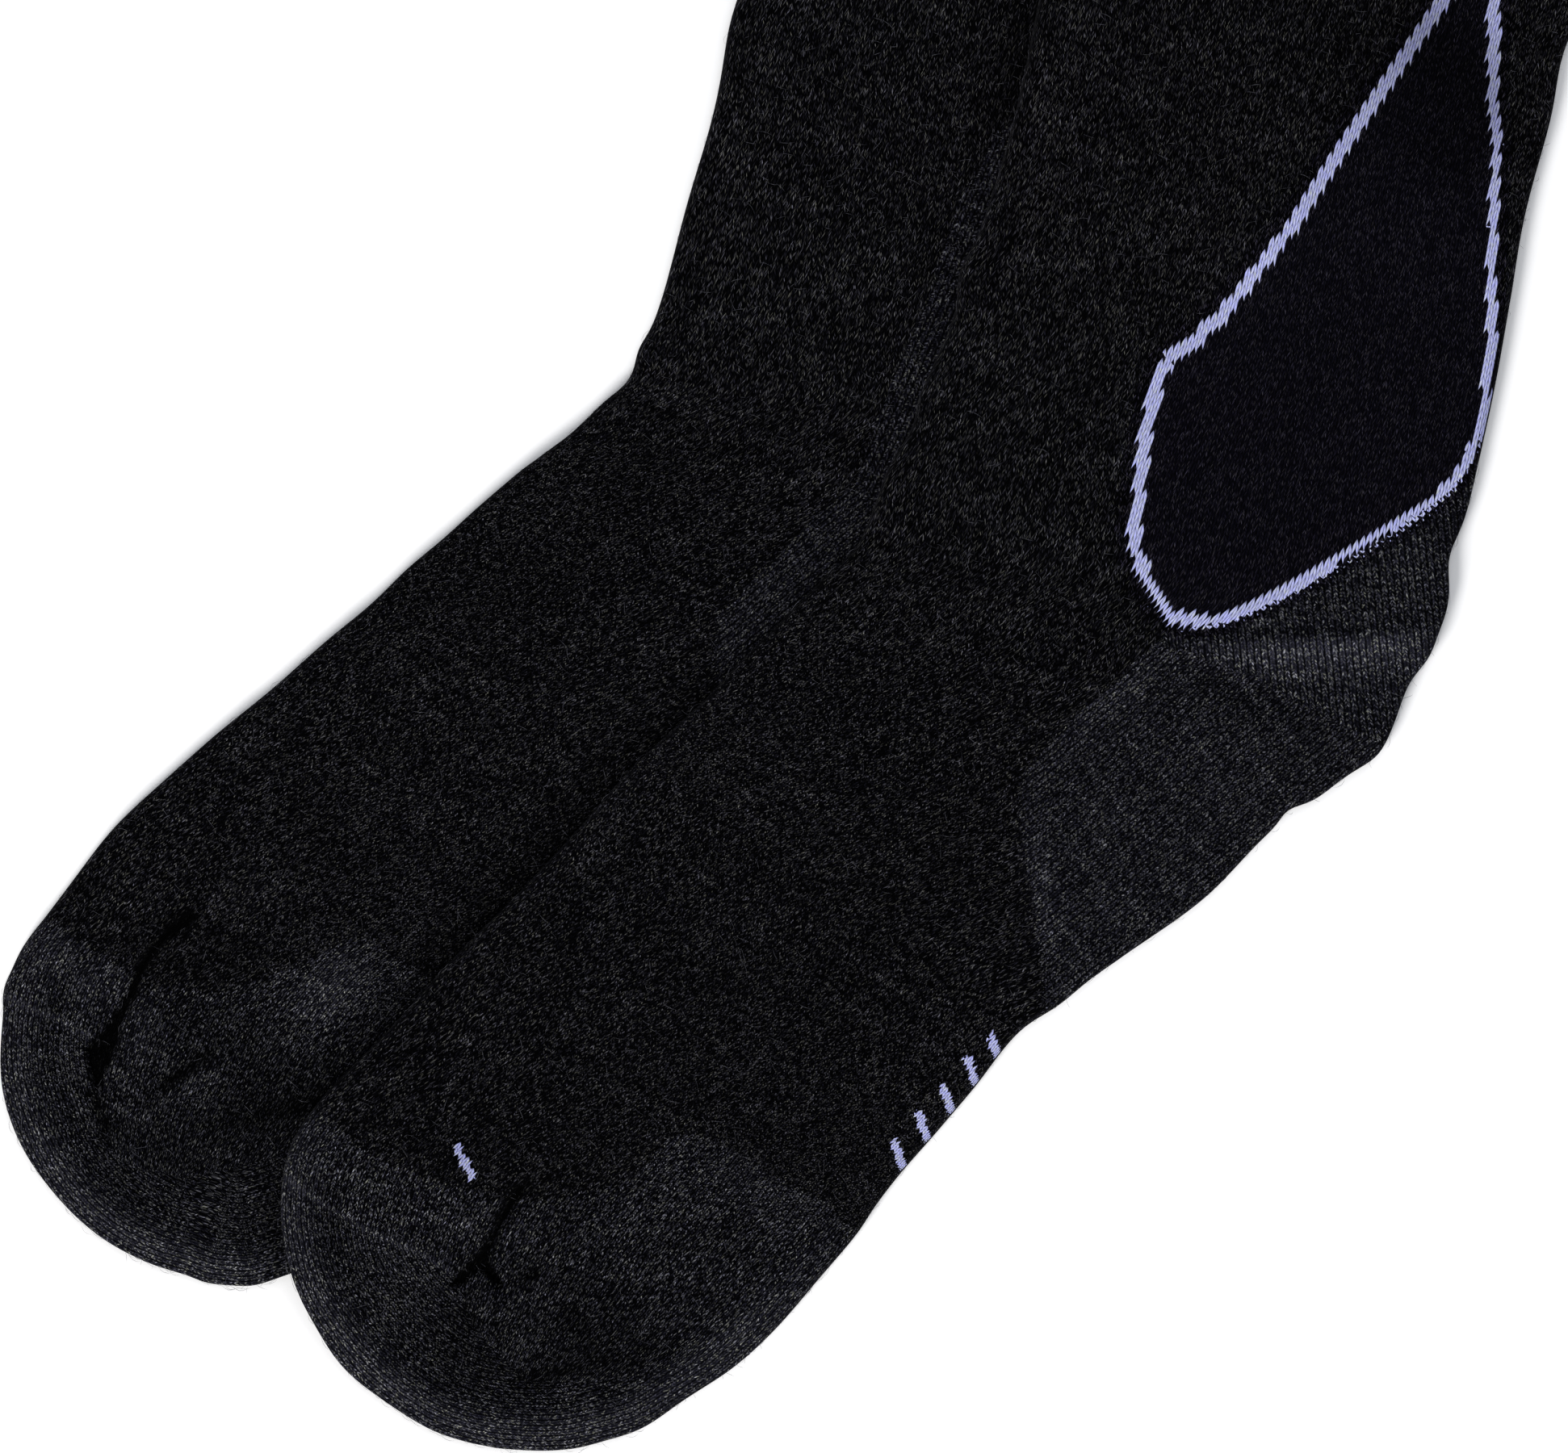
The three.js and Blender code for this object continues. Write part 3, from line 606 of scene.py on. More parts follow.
def field(distance_at, x, y, axes):
    """Distance to a border, with its slope for one wale across and one course along."""
    gx = (distance_at(x + NUDGE, y) - distance_at(x - NUDGE, y)) / (2 * NUDGE)
    gy = (distance_at(x, y + NUDGE) - distance_at(x, y - NUDGE)) / (2 * NUDGE)
    return np.stack([distance_at(x, y), *(gx * ax + gy * ay for ax, ay in axes)], axis=-1)


def panel_distance(x, y):
    """Distance to the panel's outline, eased on its left side, where the outline is wider."""
    right, up = pixels(SWELL_SIDE["place"])
    wider = smooth(right - x + SWELL_SIDE["slope"] * (y - up), SWELL_SIDE["start"], SWELL_SIDE["end"])
    return area_distance(x, y, pixels(PANEL)) / (1 + (OUTLINE_SWELL - 1) * wider)


def marks_distance(x, y):
    strokes = [np.abs(line_frame(x, y, pixels(stroke))[0]) for stroke in MARKS]
    return np.min(strokes, axis=0) - MARK_WIDTH / 2


def add_object(name, data):
    item = bpy.data.objects.new(name, data)
    bpy.context.scene.collection.objects.link(item)
    return item


def write_attribute(mesh, name, kind, domain, values):
    """Stores one number, or one vector, for each point or each face corner."""
    data = mesh.attributes.new(name, kind, domain).data
    data.foreach_set("value" if kind == "FLOAT" else "vector", np.asarray(values, np.float32).ravel())


def make_sock(sock, folds, gaps, moves, toe, heel, tones, marked, cover, contact):
    """The sock as one closed mesh, open at the cuff: a tube with a wall and a hollow."""
    s = sock.rows[:-1]
    front, back = sock.folds(s)
    width = np.linalg.norm(back - front, axis=1)
    radius = np.minimum(FOLD_RADIUS, width * FOLD_SHARE)
    flat = (width - 2 * radius)[:, None]
    middle = (front + back) / 2
    from_tip = np.minimum(np.linalg.norm(middle - sock.tip, axis=1) / (FOLD_RADIUS + TOE_RISE / 2), 1)
    squash = np.sqrt(np.maximum(1 - (1 - from_tip) ** 2, LEAST_SQUASH))[:, None]
    course = np.interp(s, sock.fine, sock.courses)
    travel = np.interp(s, sock.fine, sock.travel)

    def at(inset):
        """Points across each section, at distances from its front fold."""
        share = inset / width[:, None]
        return front[:, None] + share[..., None] * (back - front)[:, None]

    def levels(inset):
        """Middle height, half thickness, depth of what is pressed in, and painted light and shade at such
        points.
        """
        points = at(inset)
        x, y = points[..., 0], points[..., 1]
        section = np.broadcast_to(s[:, None], x.shape)
        across = inset / width[:, None]
        raised, painted_shading = relief(sock, folds, gaps, section, x, y, travel[:, None] + 0 * x, across)
        open_share = cover(x, y)
        raised = raised * open_share + np.minimum(raised, COVERED_RISE + rises(y)) * (1 - open_share)
        thick = (THICKNESS + np.maximum(raised, 0)) / 2
        press = np.clip(raised, -PRESS_SHARE * WALL, 0)
        return sock.base(x, y) + thick, thick * squash, press * squash, painted_shading

    # The ring: the upper side, the back fold, the underside and the front fold
    top_shares = np.linspace(0, 1, COLUMNS + 1)[None]
    under_shares = np.linspace(0, 1, UNDER_COLUMNS + 1)[None]
    fold_shares = np.arange(1, FOLD_POINTS + 1)[None] / (FOLD_POINTS + 1)

    def fold_ring(inset, outward, first):
        centre, half, _, painted_shading = levels(inset[:, None])
        angles = first + np.pi * fold_shares
        place = at(inset[:, None] + outward * radius[:, None] * np.abs(np.sin(angles)))
        return np.dstack([place, centre + half * np.cos(angles)]), np.repeat(painted_shading, FOLD_POINTS, axis=1)

    top_inset = radius[:, None] + top_shares * flat
    centre, half, press, top_painted_shading = levels(top_inset)
    cuff = 1 - smooth(s, CUFF_SEAM - CUFF_FADE, CUFF_SEAM)[:, None]
    rib = np.clip(0.5 - RIB_SQUARE * np.cos(2 * np.pi * CUFF_RIBS * top_shares), 0, 1)
    upper_side = np.dstack([at(top_inset), centre + half + press + RIB_HEIGHT * cuff * rib])
    # Painted shade in the grooves between the cuff's ribs
    top_painted_shading = top_painted_shading * (1 - RIB_SHADE * cuff * (1 - rib))
    back_fold, back_painted_shading = fold_ring(width - radius, 1, 0)
    under_inset = radius[:, None] + under_shares[:, ::-1] * flat
    centre, half, _, _ = levels(under_inset)
    underside = np.dstack([at(under_inset), centre - half])
    front_fold, front_painted_shading = fold_ring(radius, -1, np.pi)
    outer = np.concatenate([upper_side, back_fold, underside, front_fold], axis=1)
    painted_shading = np.concatenate([top_painted_shading, back_painted_shading, np.ones(under_inset.shape), front_painted_shading], axis=1)
    rows, ring = outer.shape[:2]

    # Stitch coordinates: wales round the tube and courses along it
    turn = np.pi * FOLD_RADIUS / 2
    around = np.hstack([
        turn + top_shares * flat,
        turn + flat + 2 * turn * fold_shares,
        3 * turn + flat + under_shares * flat,
        3 * turn + 2 * flat + 2 * turn * fold_shares,
    ])
    u = around / (2 * flat + 4 * turn) * 2 * WALES
    long = np.interp(s, *zip(*COURSES))

    tip_height = sock.base(sock.tip[None, 0], sock.tip[None, 1])[0] + THICKNESS / 2
    tip_index = rows * ring
    index = np.arange(rows * ring).reshape(rows, ring)
    following = np.roll(index, -1, axis=1)
    quads = np.stack([index[:-1], index[1:], following[1:], following[:-1]], axis=-1)
    faces = quads.reshape(-1, 4).tolist()
    last = index[-1]
    faces += [[last[i], tip_index, last[(i + 1) % ring]] for i in range(ring)]

    # The hollow
    inner_rows = [i for i in range(0, rows, INNER_EVERY) if width[i] > LEAST_HOLLOW]
    count = INNER_COLUMNS + 1
    points = at(WALL + np.linspace(0, 1, count)[None] * (width - 2 * WALL)[:, None])[inner_rows]
    floor = sock.base(points[..., 0], points[..., 1]) + WALL
    ceiling_side = np.dstack([points, floor + HOLLOW])
    floor_side = np.dstack([points, floor])[:, ::-1]
    inner = np.concatenate([ceiling_side, floor_side], axis=1)
    start = tip_index + 1
    inner_index = start + np.arange(inner.shape[0] * 2 * count).reshape(-1, 2 * count)
    inner_next = np.roll(inner_index, -1, axis=1)
    quads = np.stack([inner_index[:-1], inner_next[:-1], inner_next[1:], inner_index[1:]], axis=-1)
    faces += quads.reshape(-1, 4).tolist()
    last = inner_index[-1]
    for i in range(1, count):
        faces.append([last[i - 1], last[i], last[2 * count - 1 - i], last[2 * count - i]])
    faces += cuff_edge(index[0], inner_index[0])

    vertices = np.vstack([outer.reshape(-1, 3), [[*sock.tip, tip_height]], inner.reshape(-1, 3)])
    for place, move, wide in moves:
        distance = np.hypot(*(vertices[:, :2] - pixels(place)).T)
        vertices[:, :2] += np.array(move) * bump(distance, wide)[:, None]
    x, y = vertices[:, 0], vertices[:, 1]
    corner_u = np.concatenate([u.reshape(-1), [u[-1].mean()], x[start:] / WALE])
    corner_v = np.concatenate([np.repeat(course, ring), [course[-1]], y[start:] / FOOT_COURSE])
    corner_long = np.full(len(vertices), FOOT_COURSE)
    corner_long[:tip_index] = np.repeat(long, ring)

    # Axes of the stitches in the plane, by differences over the upper side
    top = slice(0, COLUMNS + 1)
    plane = outer[:, top, :2]
    axes_u = np.tile([WALE, 0], (len(vertices), 1))
    axes_v = np.tile([0, FOOT_COURSE], (len(vertices), 1))
    grid = index[:, top].reshape(-1)
    axes_u[grid] = (np.gradient(plane, axis=1) / np.gradient(u[:, top], axis=1)[..., None]).reshape(-1, 2)
    axes_v[grid] = (np.gradient(plane, axis=0) / np.gradient(course)[:, None, None]).reshape(-1, 2)
    axes = (axes_u.T, axes_v.T)

    def reinforced_at(px, py):
        return np.minimum(area_distance(px, py, pixels(toe)), area_distance(px, py, pixels(heel)))

    reinforced = field(reinforced_at, x, y, axes)
    is_top = np.zeros(len(vertices), bool)
    is_top[index[:, : COLUMNS + 1 + FOLD_POINTS // 2].reshape(-1)] = True
    is_top[index[:, -(FOLD_POINTS // 2) :].reshape(-1)] = True
    outline = np.tile(FAR, (len(vertices), 1))
    mark = outline.copy()
    if marked:
        outline[is_top] = field(panel_distance, x, y, axes)[is_top]
        mark[is_top] = field(marks_distance, x, y, axes)[is_top]
    # Brightness painted on the upper side of each sock: its listed places of painted light and shade, then
    # the relief's, then the contact's
    tone = np.ones(len(vertices))
    for line, size, share in tones:
        tone *= 1 + (share - 1) * bump(line_frame(x, y, pixels(line))[0], size)
    # The relief's painted light and shade
    tone[:tip_index] *= painted_shading.reshape(-1)
    # The contact's painted shadow on the under sock and painted light on the upper sock's edge
    tone = np.where(is_top, tone * contact(x, y), 1.0)

    mesh = bpy.data.meshes.new(f"{sock.name}_sock")
    placed = vertices.copy()
    placed[:, :2] += PLANE_SHIFT
    mesh.from_pydata((placed * MM).tolist(), [], faces)
    mesh.validate()
    mesh.update()
    write_stitches(mesh, corner_u, corner_v, corner_long, x, y, sock, heel, toe)
    for name, values in (("reinforced", reinforced), ("outline", outline), ("mark", mark)):
        write_attribute(mesh, name, "FLOAT_VECTOR", "POINT", values)
    write_attribute(mesh, "tone", "FLOAT", "POINT", tone)
    mesh.shade_smooth()
    return add_object(f"{sock.name}_sock", mesh)


def cuff_edge(outer, inner):
    """Faces between the outer ring and the ring of the hollow, which both start at the front of the
    upper side. They are joined in step, by each point's place round the cuff from 0 to 2."""
    top, under = np.linspace(0, 1, COLUMNS + 1), np.linspace(1, 2, UNDER_COLUMNS + 1)
    outer_places = [*top, *[1.0] * FOLD_POINTS, *under, *[2.0] * FOLD_POINTS, 2.01]
    half = len(inner) // 2
    inner_places = [*np.linspace(0, 1, half), *np.linspace(1, 2, half), 2.02]
    faces = []
    o = n = 0
    while o < len(outer) or n < len(inner):
        if n >= len(inner) or (o < len(outer) and outer_places[o + 1] <= inner_places[n + 1]):
            faces.append([outer[o], outer[(o + 1) % len(outer)], inner[n % len(inner)]])
            o += 1
        else:
            faces.append([inner[n], outer[o % len(outer)], inner[(n + 1) % len(inner)]])
            n += 1
    return faces


def write_stitches(mesh, u, v, long, x, y, sock, heel, toe):
    """Writes the stitch coordinates at each face's corners, turned in the heel and the toe."""
    vertex = np.zeros(len(mesh.loops), np.int32)
    mesh.loops.foreach_get("vertex_index", vertex)
    totals = np.zeros(len(mesh.polygons), np.int32)
    mesh.polygons.foreach_get("loop_total", totals)
    face = np.repeat(np.arange(len(totals)), totals)
    px, py = x[vertex], y[vertex]

    def face_mean(values):
        sums = np.bincount(face, values, minlength=len(totals))
        return (sums / np.maximum(totals, 1))[face]

    out_u, out_v, out_long = u[vertex], v[vertex], long[vertex]
    # Faces across the seam of the tube, where a new turn of wales starts
    spread = face_mean(out_u)
    wraps = (spread - out_u > WALES / 2) & (spread > 0)
    out_u = np.where(wraps, out_u + 2 * WALES, out_u)

    def turned(mask, angle, wale, rise):
        along = np.array([math.cos(angle), math.sin(angle)])
        out_u[mask] = ((py * along[0] - px * along[1]) / wale)[mask]
        out_v[mask] = (-(px * along[0] + py * along[1]) / rise)[mask]
        out_long[mask] = rise

    mean_x, mean_y = face_mean(px), face_mean(py)
    in_heel = area_distance(mean_x, mean_y, pixels(heel)) < 0
    below = line_frame(mean_x, mean_y, pixels(GORE[sock.name]))[0] < 0
    turned(in_heel & below, FOOT_TURN, FOOT_SIDE_WALE, HEEL_COURSE)
    turned(in_heel & ~below, HEEL_TURN[sock.name], LEG_SIDE_WALE, HEEL_COURSE)
    in_toe = area_distance(mean_x, mean_y, pixels(toe)) < 0
    rim = in_toe & (line_frame(mean_x, mean_y, pixels(TOE_GORE[sock.name]))[0] < 0)
    rim_length = np.linalg.norm(np.diff(sock.outline, axis=0), axis=1).sum()
    depth, place = line_frame(px[rim], py[rim], sock.outline)
    out_u[rim] = depth / TOE_WALE
    out_v[rim] = place * rim_length / FOOT_COURSE
    write_attribute(mesh, "stitch", "FLOAT_VECTOR", "CORNER", np.stack([out_u, out_v, out_long], axis=-1))


class Nodes:
    """Short names for the nodes of one material."""

    def __init__(self, name):
        self.material = bpy.data.materials.new(name)
        self.material.use_nodes = True
        self.tree = self.material.node_tree
        self.shader = self.tree.nodes["Principled BSDF"]

    def new(self, kind, *values):
        """A node with its first inputs set."""
        node = self.tree.nodes.new("ShaderNode" + kind)
        for socket, value in zip(node.inputs, values):
            self.put(socket, value)
        return node

    def put(self, socket, value):
        if isinstance(value, bpy.types.NodeSocket):
            self.tree.links.new(value, socket)
        else:
            socket.default_value = value

    def math(self, operation, *values):
        node = self.new("Math", *values)
        node.operation = operation
        return node.outputs[0]

    def add(self, a, b):
        return self.math("ADD", a, b)

    def sub(self, a, b):
        return self.math("SUBTRACT", a, b)

    def mul(self, a, b):
        return self.math("MULTIPLY", a, b)

    def fma(self, a, b, c):
        """a times b plus c."""
        return self.math("MULTIPLY_ADD", a, b, c)

    def floor(self, a):
        return self.math("FLOOR", a)

    def fract(self, a):
        return self.math("FRACT", a)

    def less(self, a, b):
        return self.math("LESS_THAN", a, b)

    def attribute(self, name):
        node = self.new("Attribute")
        node.attribute_name = name
        return node

    def vector(self, name):
        """Three numbers of an attribute."""
        return self.new("SeparateXYZ", self.attribute(name).outputs["Vector"]).outputs[:]

    def combine(self, x, y, z):
        return self.new("CombineXYZ", x, y, z).outputs[0]

    def noise(self, vector, detail=1.0, roughness=0.5):
        node = self.new("TexNoise")
        self.put(node.inputs["Vector"], vector)
        node.inputs["Scale"].default_value = 1.0
        node.inputs["Detail"].default_value = detail
        node.inputs["Roughness"].default_value = roughness
        return node.outputs["Fac"]

    def white(self, x, y, z):
        node = self.new("TexWhiteNoise")
        self.put(node.inputs["Vector"], self.combine(x, y, z))
        return node.outputs["Value"]

    def span(self, value, low, high, to_low, to_high):
        return self.new("MapRange", value, low, high, to_low, to_high).outputs[0]

    def mix(self, share, a, b):
        """Mix of two colours."""
        node = self.new("Mix")
        node.data_type = "RGBA"
        for place, value in ((0, share), (6, a), (7, b)):
            self.put(node.inputs[place], value)
        return node.outputs[2]

    def vector_math(self, operation, a, b):
        """A vector times a number, or times another vector."""
        node = self.new("VectorMath", a)
        node.operation = operation
        self.put(node.inputs["Scale" if operation == "SCALE" else 1], b)
        return node.outputs[0]

    def bump(self, height, distance, strength):
        node = self.new("Bump")
        node.inputs["Strength"].default_value = strength
        node.inputs["Distance"].default_value = distance
        self.put(node.inputs["Height"], height)
        self.put(self.shader.inputs["Normal"], node.outputs[0])

    def finish(self, colour, roughness, specular, sheen, sheen_tint, sheen_roughness=0.5):
        self.put(self.shader.inputs["Base Color"], colour)
        self.put(self.shader.inputs["Roughness"], roughness)
        self.shader.inputs["Specular IOR Level"].default_value = specular
        self.shader.inputs["Sheen Weight"].default_value = sheen
        self.shader.inputs["Sheen Roughness"].default_value = sheen_roughness
        self.shader.inputs["Sheen Tint"].default_value = sheen_tint
        return self.material


def knit_material():
    """Plain knitting: two slanted legs to a stitch, each of several strands, in melange yarn."""
    n = Nodes("melange_knit")
    u, v, long = n.vector("stitch")
    double = n.mul(u, 2.0)
    leg, across = n.floor(double), n.fract(double)
    slant = n.math("ABSOLUTE", n.fma(n.fract(u), 2.0, -1.0))
    odd = n.math("FLOORED_MODULO", n.floor(u), 2.0)
    shift = n.mul(n.mul(odd, LOOP_SHIFT), n.math("GREATER_THAN", long, TURNED_BELOW))
    along = n.add(n.sub(v, n.mul(slant, STITCH_SLOPE)), shift)
    row, up = n.floor(along), n.fract(along)
    to_middle = n.sub(n.fma(leg, 0.5, 0.25), u)
    to_wale = n.sub(n.add(n.floor(u), 0.5), u)
    to_row = n.sub(n.sub(n.add(row, 0.5 + STITCH_SLOPE / 2), shift), v)

    def border(name, sideways):
        """Distance from the middle of this leg or wale to a border, so colours change by the stitch."""
        d, gu, gv = n.vector(name)
        return n.add(d, n.add(n.mul(gu, sideways), n.mul(gv, to_row)))

    reinforced = n.less(border("reinforced", to_middle), 0.0)
    turned = n.less(long, TURNED_BELOW)
    edge = border("outline", to_wale)
    in_panel = n.less(edge, 0.0)
    from_outline = n.math("ABSOLUTE", edge)
    in_outline = n.less(from_outline, OUTLINE_WIDTH / 2)
    in_border = n.less(from_outline, OUTLINE_WIDTH / 2 + OUTLINE_BORDER)
    light = n.math("MAXIMUM", in_outline, n.less(border("mark", to_middle), 0.0))

    # The rounded form of a leg, and the noises of its strands, its fibres and the yarn
    side = n.fma(across, 2.0, -1.0)
    round_across = n.math("SQRT", n.math("MAXIMUM", n.sub(1.0, n.mul(side, side)), 0.0))
    round_along = n.sub(1.0, n.math("POWER", n.fma(up, 2.0, -1.0), 4.0))
    height = n.mul(round_across, n.fma(round_along, LEG_ROUND, 1 - LEG_ROUND))
    up_mm = n.mul(up, long)
    strand_x = n.fma(leg, STRAND_STEPS[0], n.mul(across, STRAND_LUMPS[0]))
    strand_y = n.fma(row, STRAND_STEPS[1], n.mul(up_mm, STRAND_LUMPS[1]))
    strand = n.noise(n.combine(strand_x, strand_y, 0.0), 2.0, 0.6)
    chance = n.white(leg, row, 0.0)
    piece = n.floor(n.fma(up_mm, 1 / FLECK, across))
    half_leg = n.floor(n.mul(double, 2.0))
    fibre = n.white(half_leg, row, piece)

    def lumpy(lumps, course, detail):
        return n.noise(n.combine(n.mul(u, lumps[0]), n.mul(course, lumps[1]), lumps[2]), detail)

    def by_yarn(main, less_reinforced, less_turned):
        return n.sub(main, n.fma(reinforced, less_reinforced, n.mul(turned, less_turned)))

    # Brightness of the melange yarn, and of the plainer yarn in the panel
    vary = n.span(strand, *SPREAD["strand"])
    fleck = n.math("POWER", fibre, by_yarn(*FLECK_POWER))
    fleck = n.fma(fleck, by_yarn(*FLECK_GAIN), n.fma(turned, *FLECK_LEAST))
    melange = n.mul(vary, n.mul(n.span(chance, *SPREAD["stitch"]), fleck))
    plain = n.mul(vary, n.fma(n.math("POWER", fibre, PANEL_POWER), *PANEL_GAIN))
    run = n.span(lumpy(YARN_RUN, row, 1.0), *SPREAD["run"])
    run = n.mul(run, n.span(lumpy(PATCH, v, 2.0), *SPREAD["patch"]))
    run = n.mul(run, n.span(lumpy(STREAK, row, 1.0), *SPREAD["streak"]))
    # Painted light and shade of each point; where the painted light is strong, the flecks are evened out
    tone = n.attribute("tone").outputs["Fac"]
    even = n.span(tone, *LIT_TONE, 0.0, n.fma(turned, *EVEN))
    flecked = n.mul(n.span(in_panel, 0.0, 1.0, melange, plain), n.span(in_panel, 0.0, 1.0, run, 1.0))
    yarn = n.span(even, 0.0, 1.0, flecked, 1.0)

    # Shade between the legs and beside each wale
    lines = n.fma(reinforced, *LINES)
    middle, beside = (n.fma(lines, WALE_LINE[place], 1.0) for place in ("middle", "side"))
    wale_line = n.span(slant, WALE_LINE["start"], 1.0, middle, beside)
    shade = n.mul(n.span(height, *LEG_SHADE, n.fma(turned, *DIP), n.fma(turned, *CROWN)), wale_line)
    light_fleck = n.mul(n.span(fibre, *SPREAD["light_fibre"]), n.span(strand, *SPREAD["light_strand"]))
    light_amount = n.mul(light_fleck, n.span(height, *SPREAD["light_leg"]))
    # Stitch brightness times the painted light and shade
    amount = n.mul(n.span(light, 0.0, 1.0, n.mul(yarn, shade), light_amount), tone)

    colour = n.mix(reinforced, MAIN, REINFORCED)
    colour = n.mix(n.math("MAXIMUM", in_panel, in_border), colour, PANEL_YARN)
    colour = n.mix(light, colour, LILAC)
    warmth = n.mul(n.white(row, piece, half_leg), WARMTH["chance"])
    warmth = n.add(warmth, n.add(n.span(yarn, *WARMTH["bright"]), n.mul(even, WARMTH["lit"])))
    colour = n.vector_math("MULTIPLY", n.vector_math("SCALE", colour, amount), n.mix(warmth, COOL, WARM))
    n.bump(n.fma(strand, 0.3, height), distance=0.0002, strength=0.6)
    rough = n.span(chance, *SPREAD["rough"])
    return n.finish(colour, rough, specular=0.01, sheen=0.012, sheen_tint=SHEEN_TINT)


def fuzz_material():
    n = Nodes("wool_fuzz")
    tone = n.noise(n.vector_math("SCALE", n.new("TexCoord").outputs["Object"], FUZZ_LUMPS))
    colour = n.mix(n.span(tone, 0.35, 0.65, 0.0, 1.0), FUZZ_DARK, FUZZ_LIGHT)
    n.bump(tone, distance=0.00003, strength=0.4)
    return n.finish(colour, n.span(tone, 0.3, 0.7, 0.7, 0.9), specular=0.1, sheen=0.0, sheen_tint=WHITE)


def plane_of(points):
    """Places of points of the scene in the plane of the photograph."""
    return points[:, 0] / MM - PLANE_SHIFT[0], points[:, 1] / MM - PLANE_SHIFT[1]


def make_fuzz(sock, piece, bare):
    """Short loose fibres that stand a little off the knit, each a thin tapered curve. None grow on the
    bare area."""
    random = np.random.default_rng(FUZZ_SEED[sock.name])
    count = FUZZ_COUNT[sock.name]
    polygons = piece.data.polygons
    total = len(polygons)
    centres, normals, areas = np.zeros(total * 3), np.zeros(total * 3), np.zeros(total)
    for quantity, values in (("center", centres), ("normal", normals), ("area", areas)):
        polygons.foreach_get(quantity, values)
    centres, normals = centres.reshape(-1, 3), normals.reshape(-1, 3)
    outside = area_distance(*plane_of(centres), bare) > FUZZ_CLEAR[sock.name]
    allowed = (normals[:, 2] > FIBRE_FACING) & outside
    weights = np.where(allowed, areas * (1 + FIBRE_AT_EDGE * (1 - np.clip(normals[:, 2], 0, 1))), 0)
    chosen = random.choice(total, count, p=weights / weights.sum())
    origin, normal = centres[chosen], normals[chosen]
    # Most fibres lie along the courses
    foot, leg = COURSE_TURN
    turn = random.normal(foot + (leg - foot) * smooth(plane_of(origin)[1], *ANKLE), FIBRE_SPREAD)
    heading = np.stack([np.cos(turn), np.sin(turn), np.zeros(count)], axis=1)
    heading -= normal * (heading * normal).sum(axis=1)[:, None]
    heading /= np.linalg.norm(heading, axis=1)[:, None]
    sideways = np.cross(normal, heading)
    length = random.uniform(*FIBRE_LENGTH, count) * MM
    curl = random.uniform(-1.0, 1.0, count) * length * FIBRE_CURL
    rise = random.uniform(*FIBRE_RISE, count) * length
    thick = random.uniform(*FIBRE_WIDTH, count) * MM
    t = np.linspace(0, 1, FIBRE_POINTS)
    lift = np.sin(np.pi * np.minimum(t * 0.8 + 0.05, 1))
    path = (
        origin[:, None]
        + heading[:, None] * (length[:, None] * t)[..., None]
        + sideways[:, None] * (curl[:, None] * t**2)[..., None]
        + normal[:, None] * (rise[:, None] * lift)[..., None]
    )
    path[..., 2] = np.maximum(path[..., 2], FIBRE_FLOOR)
    taper = np.sqrt(np.clip(1.02 - (2 * t - 1) ** 2, 0.05, 1))
    angles = 2 * np.pi * np.arange(FIBRE_SIDES) / FIBRE_SIDES
    offset = sideways[:, None, None] * np.cos(angles)[None, None, :, None]
    offset = offset + normal[:, None, None] * np.sin(angles)[None, None, :, None]
    rings = path[:, :, None] + offset * (thick[:, None] * taper)[..., None, None]
    ring = np.arange(FIBRE_SIDES)
    onward = (ring + 1) % FIBRE_SIDES
    step = np.arange(FIBRE_POINTS - 1)[:, None] * FIBRE_SIDES
    corners = [step + ring, step + onward, step + FIBRE_SIDES + onward, step + FIBRE_SIDES + ring]
    start = np.arange(count)[:, None] * FIBRE_POINTS * FIBRE_SIDES
    quads = (np.stack(corners, axis=-1).reshape(-1, 4) + start[..., None]).reshape(-1, 4).tolist()
    begin = (start + ring[::-1]).tolist()
    end = (start + (FIBRE_POINTS - 1) * FIBRE_SIDES + ring).tolist()
    mesh = bpy.data.meshes.new(f"{sock.name}_fuzz")
    mesh.from_pydata(rings.reshape(-1, 3).tolist(), [], quads + begin + end)
    mesh.update()
    mesh.shade_smooth()
    return add_object(f"{sock.name}_fuzz", mesh)


def add_light(name, place, target, size, power, colour):
    data = bpy.data.lights.new(name, "AREA")
    data.shape = "DISK"
    data.size = size
    data.energy = power
    data.color = colour
    light = add_object(name, data)
    light.location = place
    light.rotation_mode = "QUATERNION"
    light.rotation_quaternion = (Vector(target) - Vector(place)).to_track_quat("-Z", "Y")


# Camera straight above the middle of the photograph, then the light and the floor
camera_data = bpy.data.cameras.new("camera")
camera_data.sensor_width = SENSOR
camera_data.lens = SENSOR * (CAMERA_HEIGHT - SOCK_HEIGHT) / (PHOTO_SIZE[0] / PIXELS_PER_MM * MM)
camera_data.clip_end = VIEW_END
camera = add_object("camera", camera_data)
camera.location = (PLANE_SHIFT[0] * MM, PLANE_SHIFT[1] * MM, CAMERA_HEIGHT)
bpy.context.scene.camera = camera
bpy.context.scene.view_settings.view_transform = "Standard"

add_light(
    "key", place=(-1.15, -1.75, 1.35), target=(0, -0.05, 0), size=0.9, power=62.0, colour=(1.0, 0.985, 0.97)
)
add_light("fill", place=(0.5, 0.6, 2.4), target=(0, 0, 0), size=1.8, power=16.0, colour=(0.95, 0.97, 1.0))
world = bpy.data.worlds.new("studio")
world.use_nodes = True
sky = world.node_tree.nodes["Background"].inputs
sky["Color"].default_value = SKY
sky["Strength"].default_value = SKY_STRENGTH
bpy.context.scene.world = world

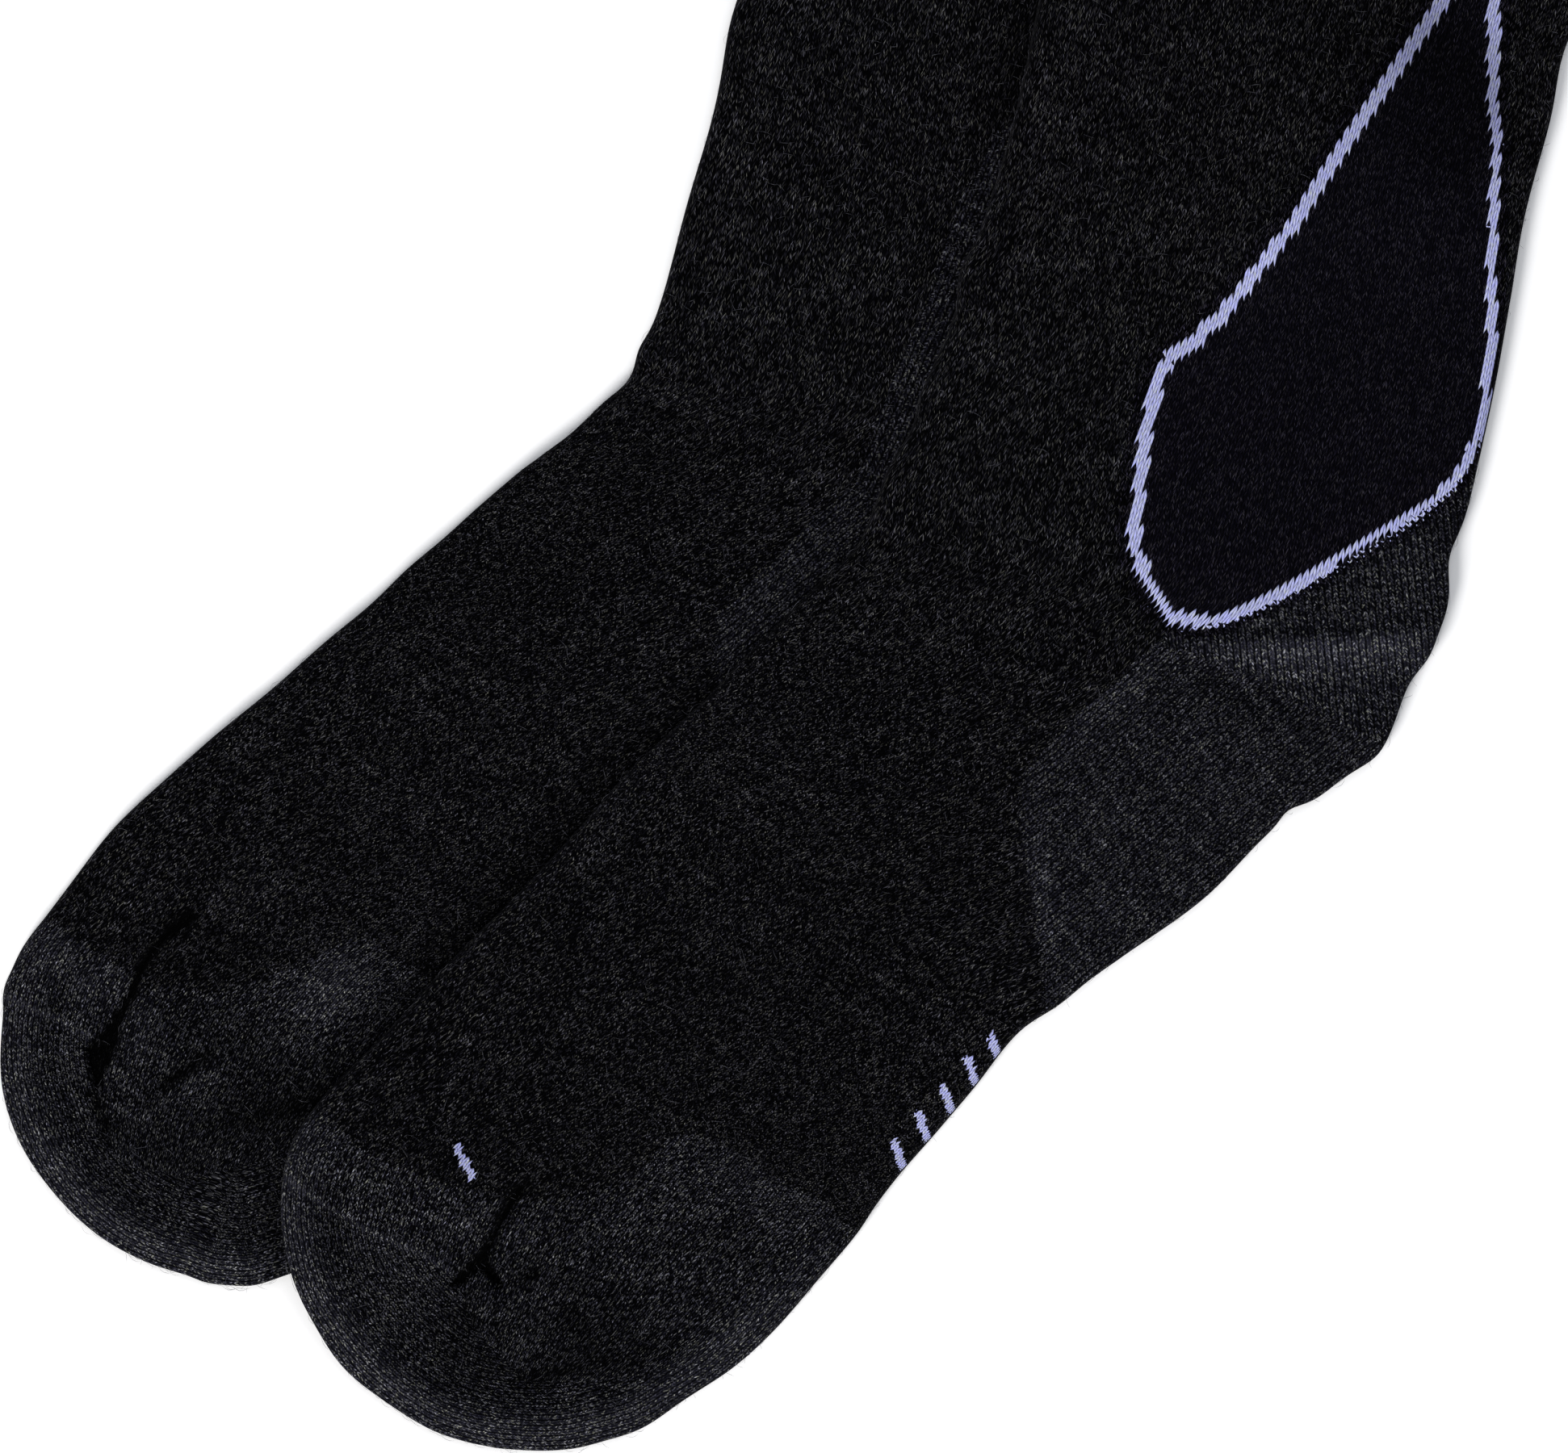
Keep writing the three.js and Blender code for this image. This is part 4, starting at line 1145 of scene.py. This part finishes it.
floor_mesh = bpy.data.meshes.new("floor")
half_side = FLOOR_SIDE / 2
floor_corners = [(x * half_side, y * half_side, 0) for x, y in ((-1, -1), (1, -1), (1, 1), (-1, 1))]
floor_mesh.from_pydata(floor_corners, [], [(0, 1, 2, 3)])
floor = add_object("floor", floor_mesh)
floor.location.z = -FLOOR_DROP
floor_nodes = Nodes("paper")
paper = floor_nodes.noise(floor_nodes.attribute("position").outputs["Vector"], 2.0)
floor_nodes.finish(floor_nodes.mix(paper, *PAPER), 0.9, specular=0.2, sheen=0.0, sheen_tint=WHITE)
floor_mesh.materials.append(floor_nodes.material)

under = Sock("under", UNDER_ROWS, no_base)
upper = Sock("upper", UPPER_ROWS, rest_on(under))


def uncovered(x, y):
    """0 where the upper sock lies on the under one, 1 beside it."""
    return smooth(area_distance(x, y, upper.outline), *UNCOVERED)


def everywhere(x, y):
    return np.ones(x.shape)


def beside_upper(x, y):
    """Painted shadow on the under sock close beside the upper one."""
    strength = np.maximum(smooth(y, *CONTACT["above"]) + 1 - smooth(y, *CONTACT["below"]), CONTACT["between"])
    distance = area_distance(x, y, upper.outline) - CONTACT["place"]
    return 1 - CONTACT["share"] * strength * bump(distance, CONTACT["width"])


def over_under(x, y):
    """Painted light on the edge of the upper sock's foot where it lies over the under one."""
    edge = bump(area_distance(x, y, upper.outline) + EDGE["place"], EDGE["width"])
    edge *= 1 - smooth(y, *CONTACT["below"])
    return 1 + EDGE["share"] * edge * smooth(-area_distance(x, y, under.outline), *EDGE["inside"])


under_piece = make_sock(
    under, UNDER_FOLDS + HIDDEN_FOLDS, UNDER_GAPS, UNDER_MOVES, UNDER_TOE, UNDER_HEEL, UNDER_TONES,
    marked=False, cover=uncovered, contact=beside_upper,
)
upper_piece = make_sock(
    upper, UPPER_FOLDS + HIDDEN_FOLDS, UPPER_GAPS, UPPER_MOVES, UPPER_TOE, UPPER_HEEL, UPPER_TONES,
    marked=True, cover=everywhere, contact=over_under,
)
knit = knit_material()
ZONES = ("cuff", "leg", "heel", "foot", "toe")
for sock, piece in ((under, under_piece), (upper, upper_piece)):
    piece.data.materials.append(knit)
    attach(piece, "root")
    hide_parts(*(f"{sock.name}_{zone}" for zone in ZONES))

# No fuzz where the upper sock lies on the under one, and none on the panel
fuzz_look = fuzz_material()
for sock, piece, bare in ((under, under_piece, upper.outline), (upper, upper_piece, pixels(PANEL))):
    fuzz = make_fuzz(sock, piece, bare)
    fuzz.data.materials.append(fuzz_look)
    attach(fuzz, "root")
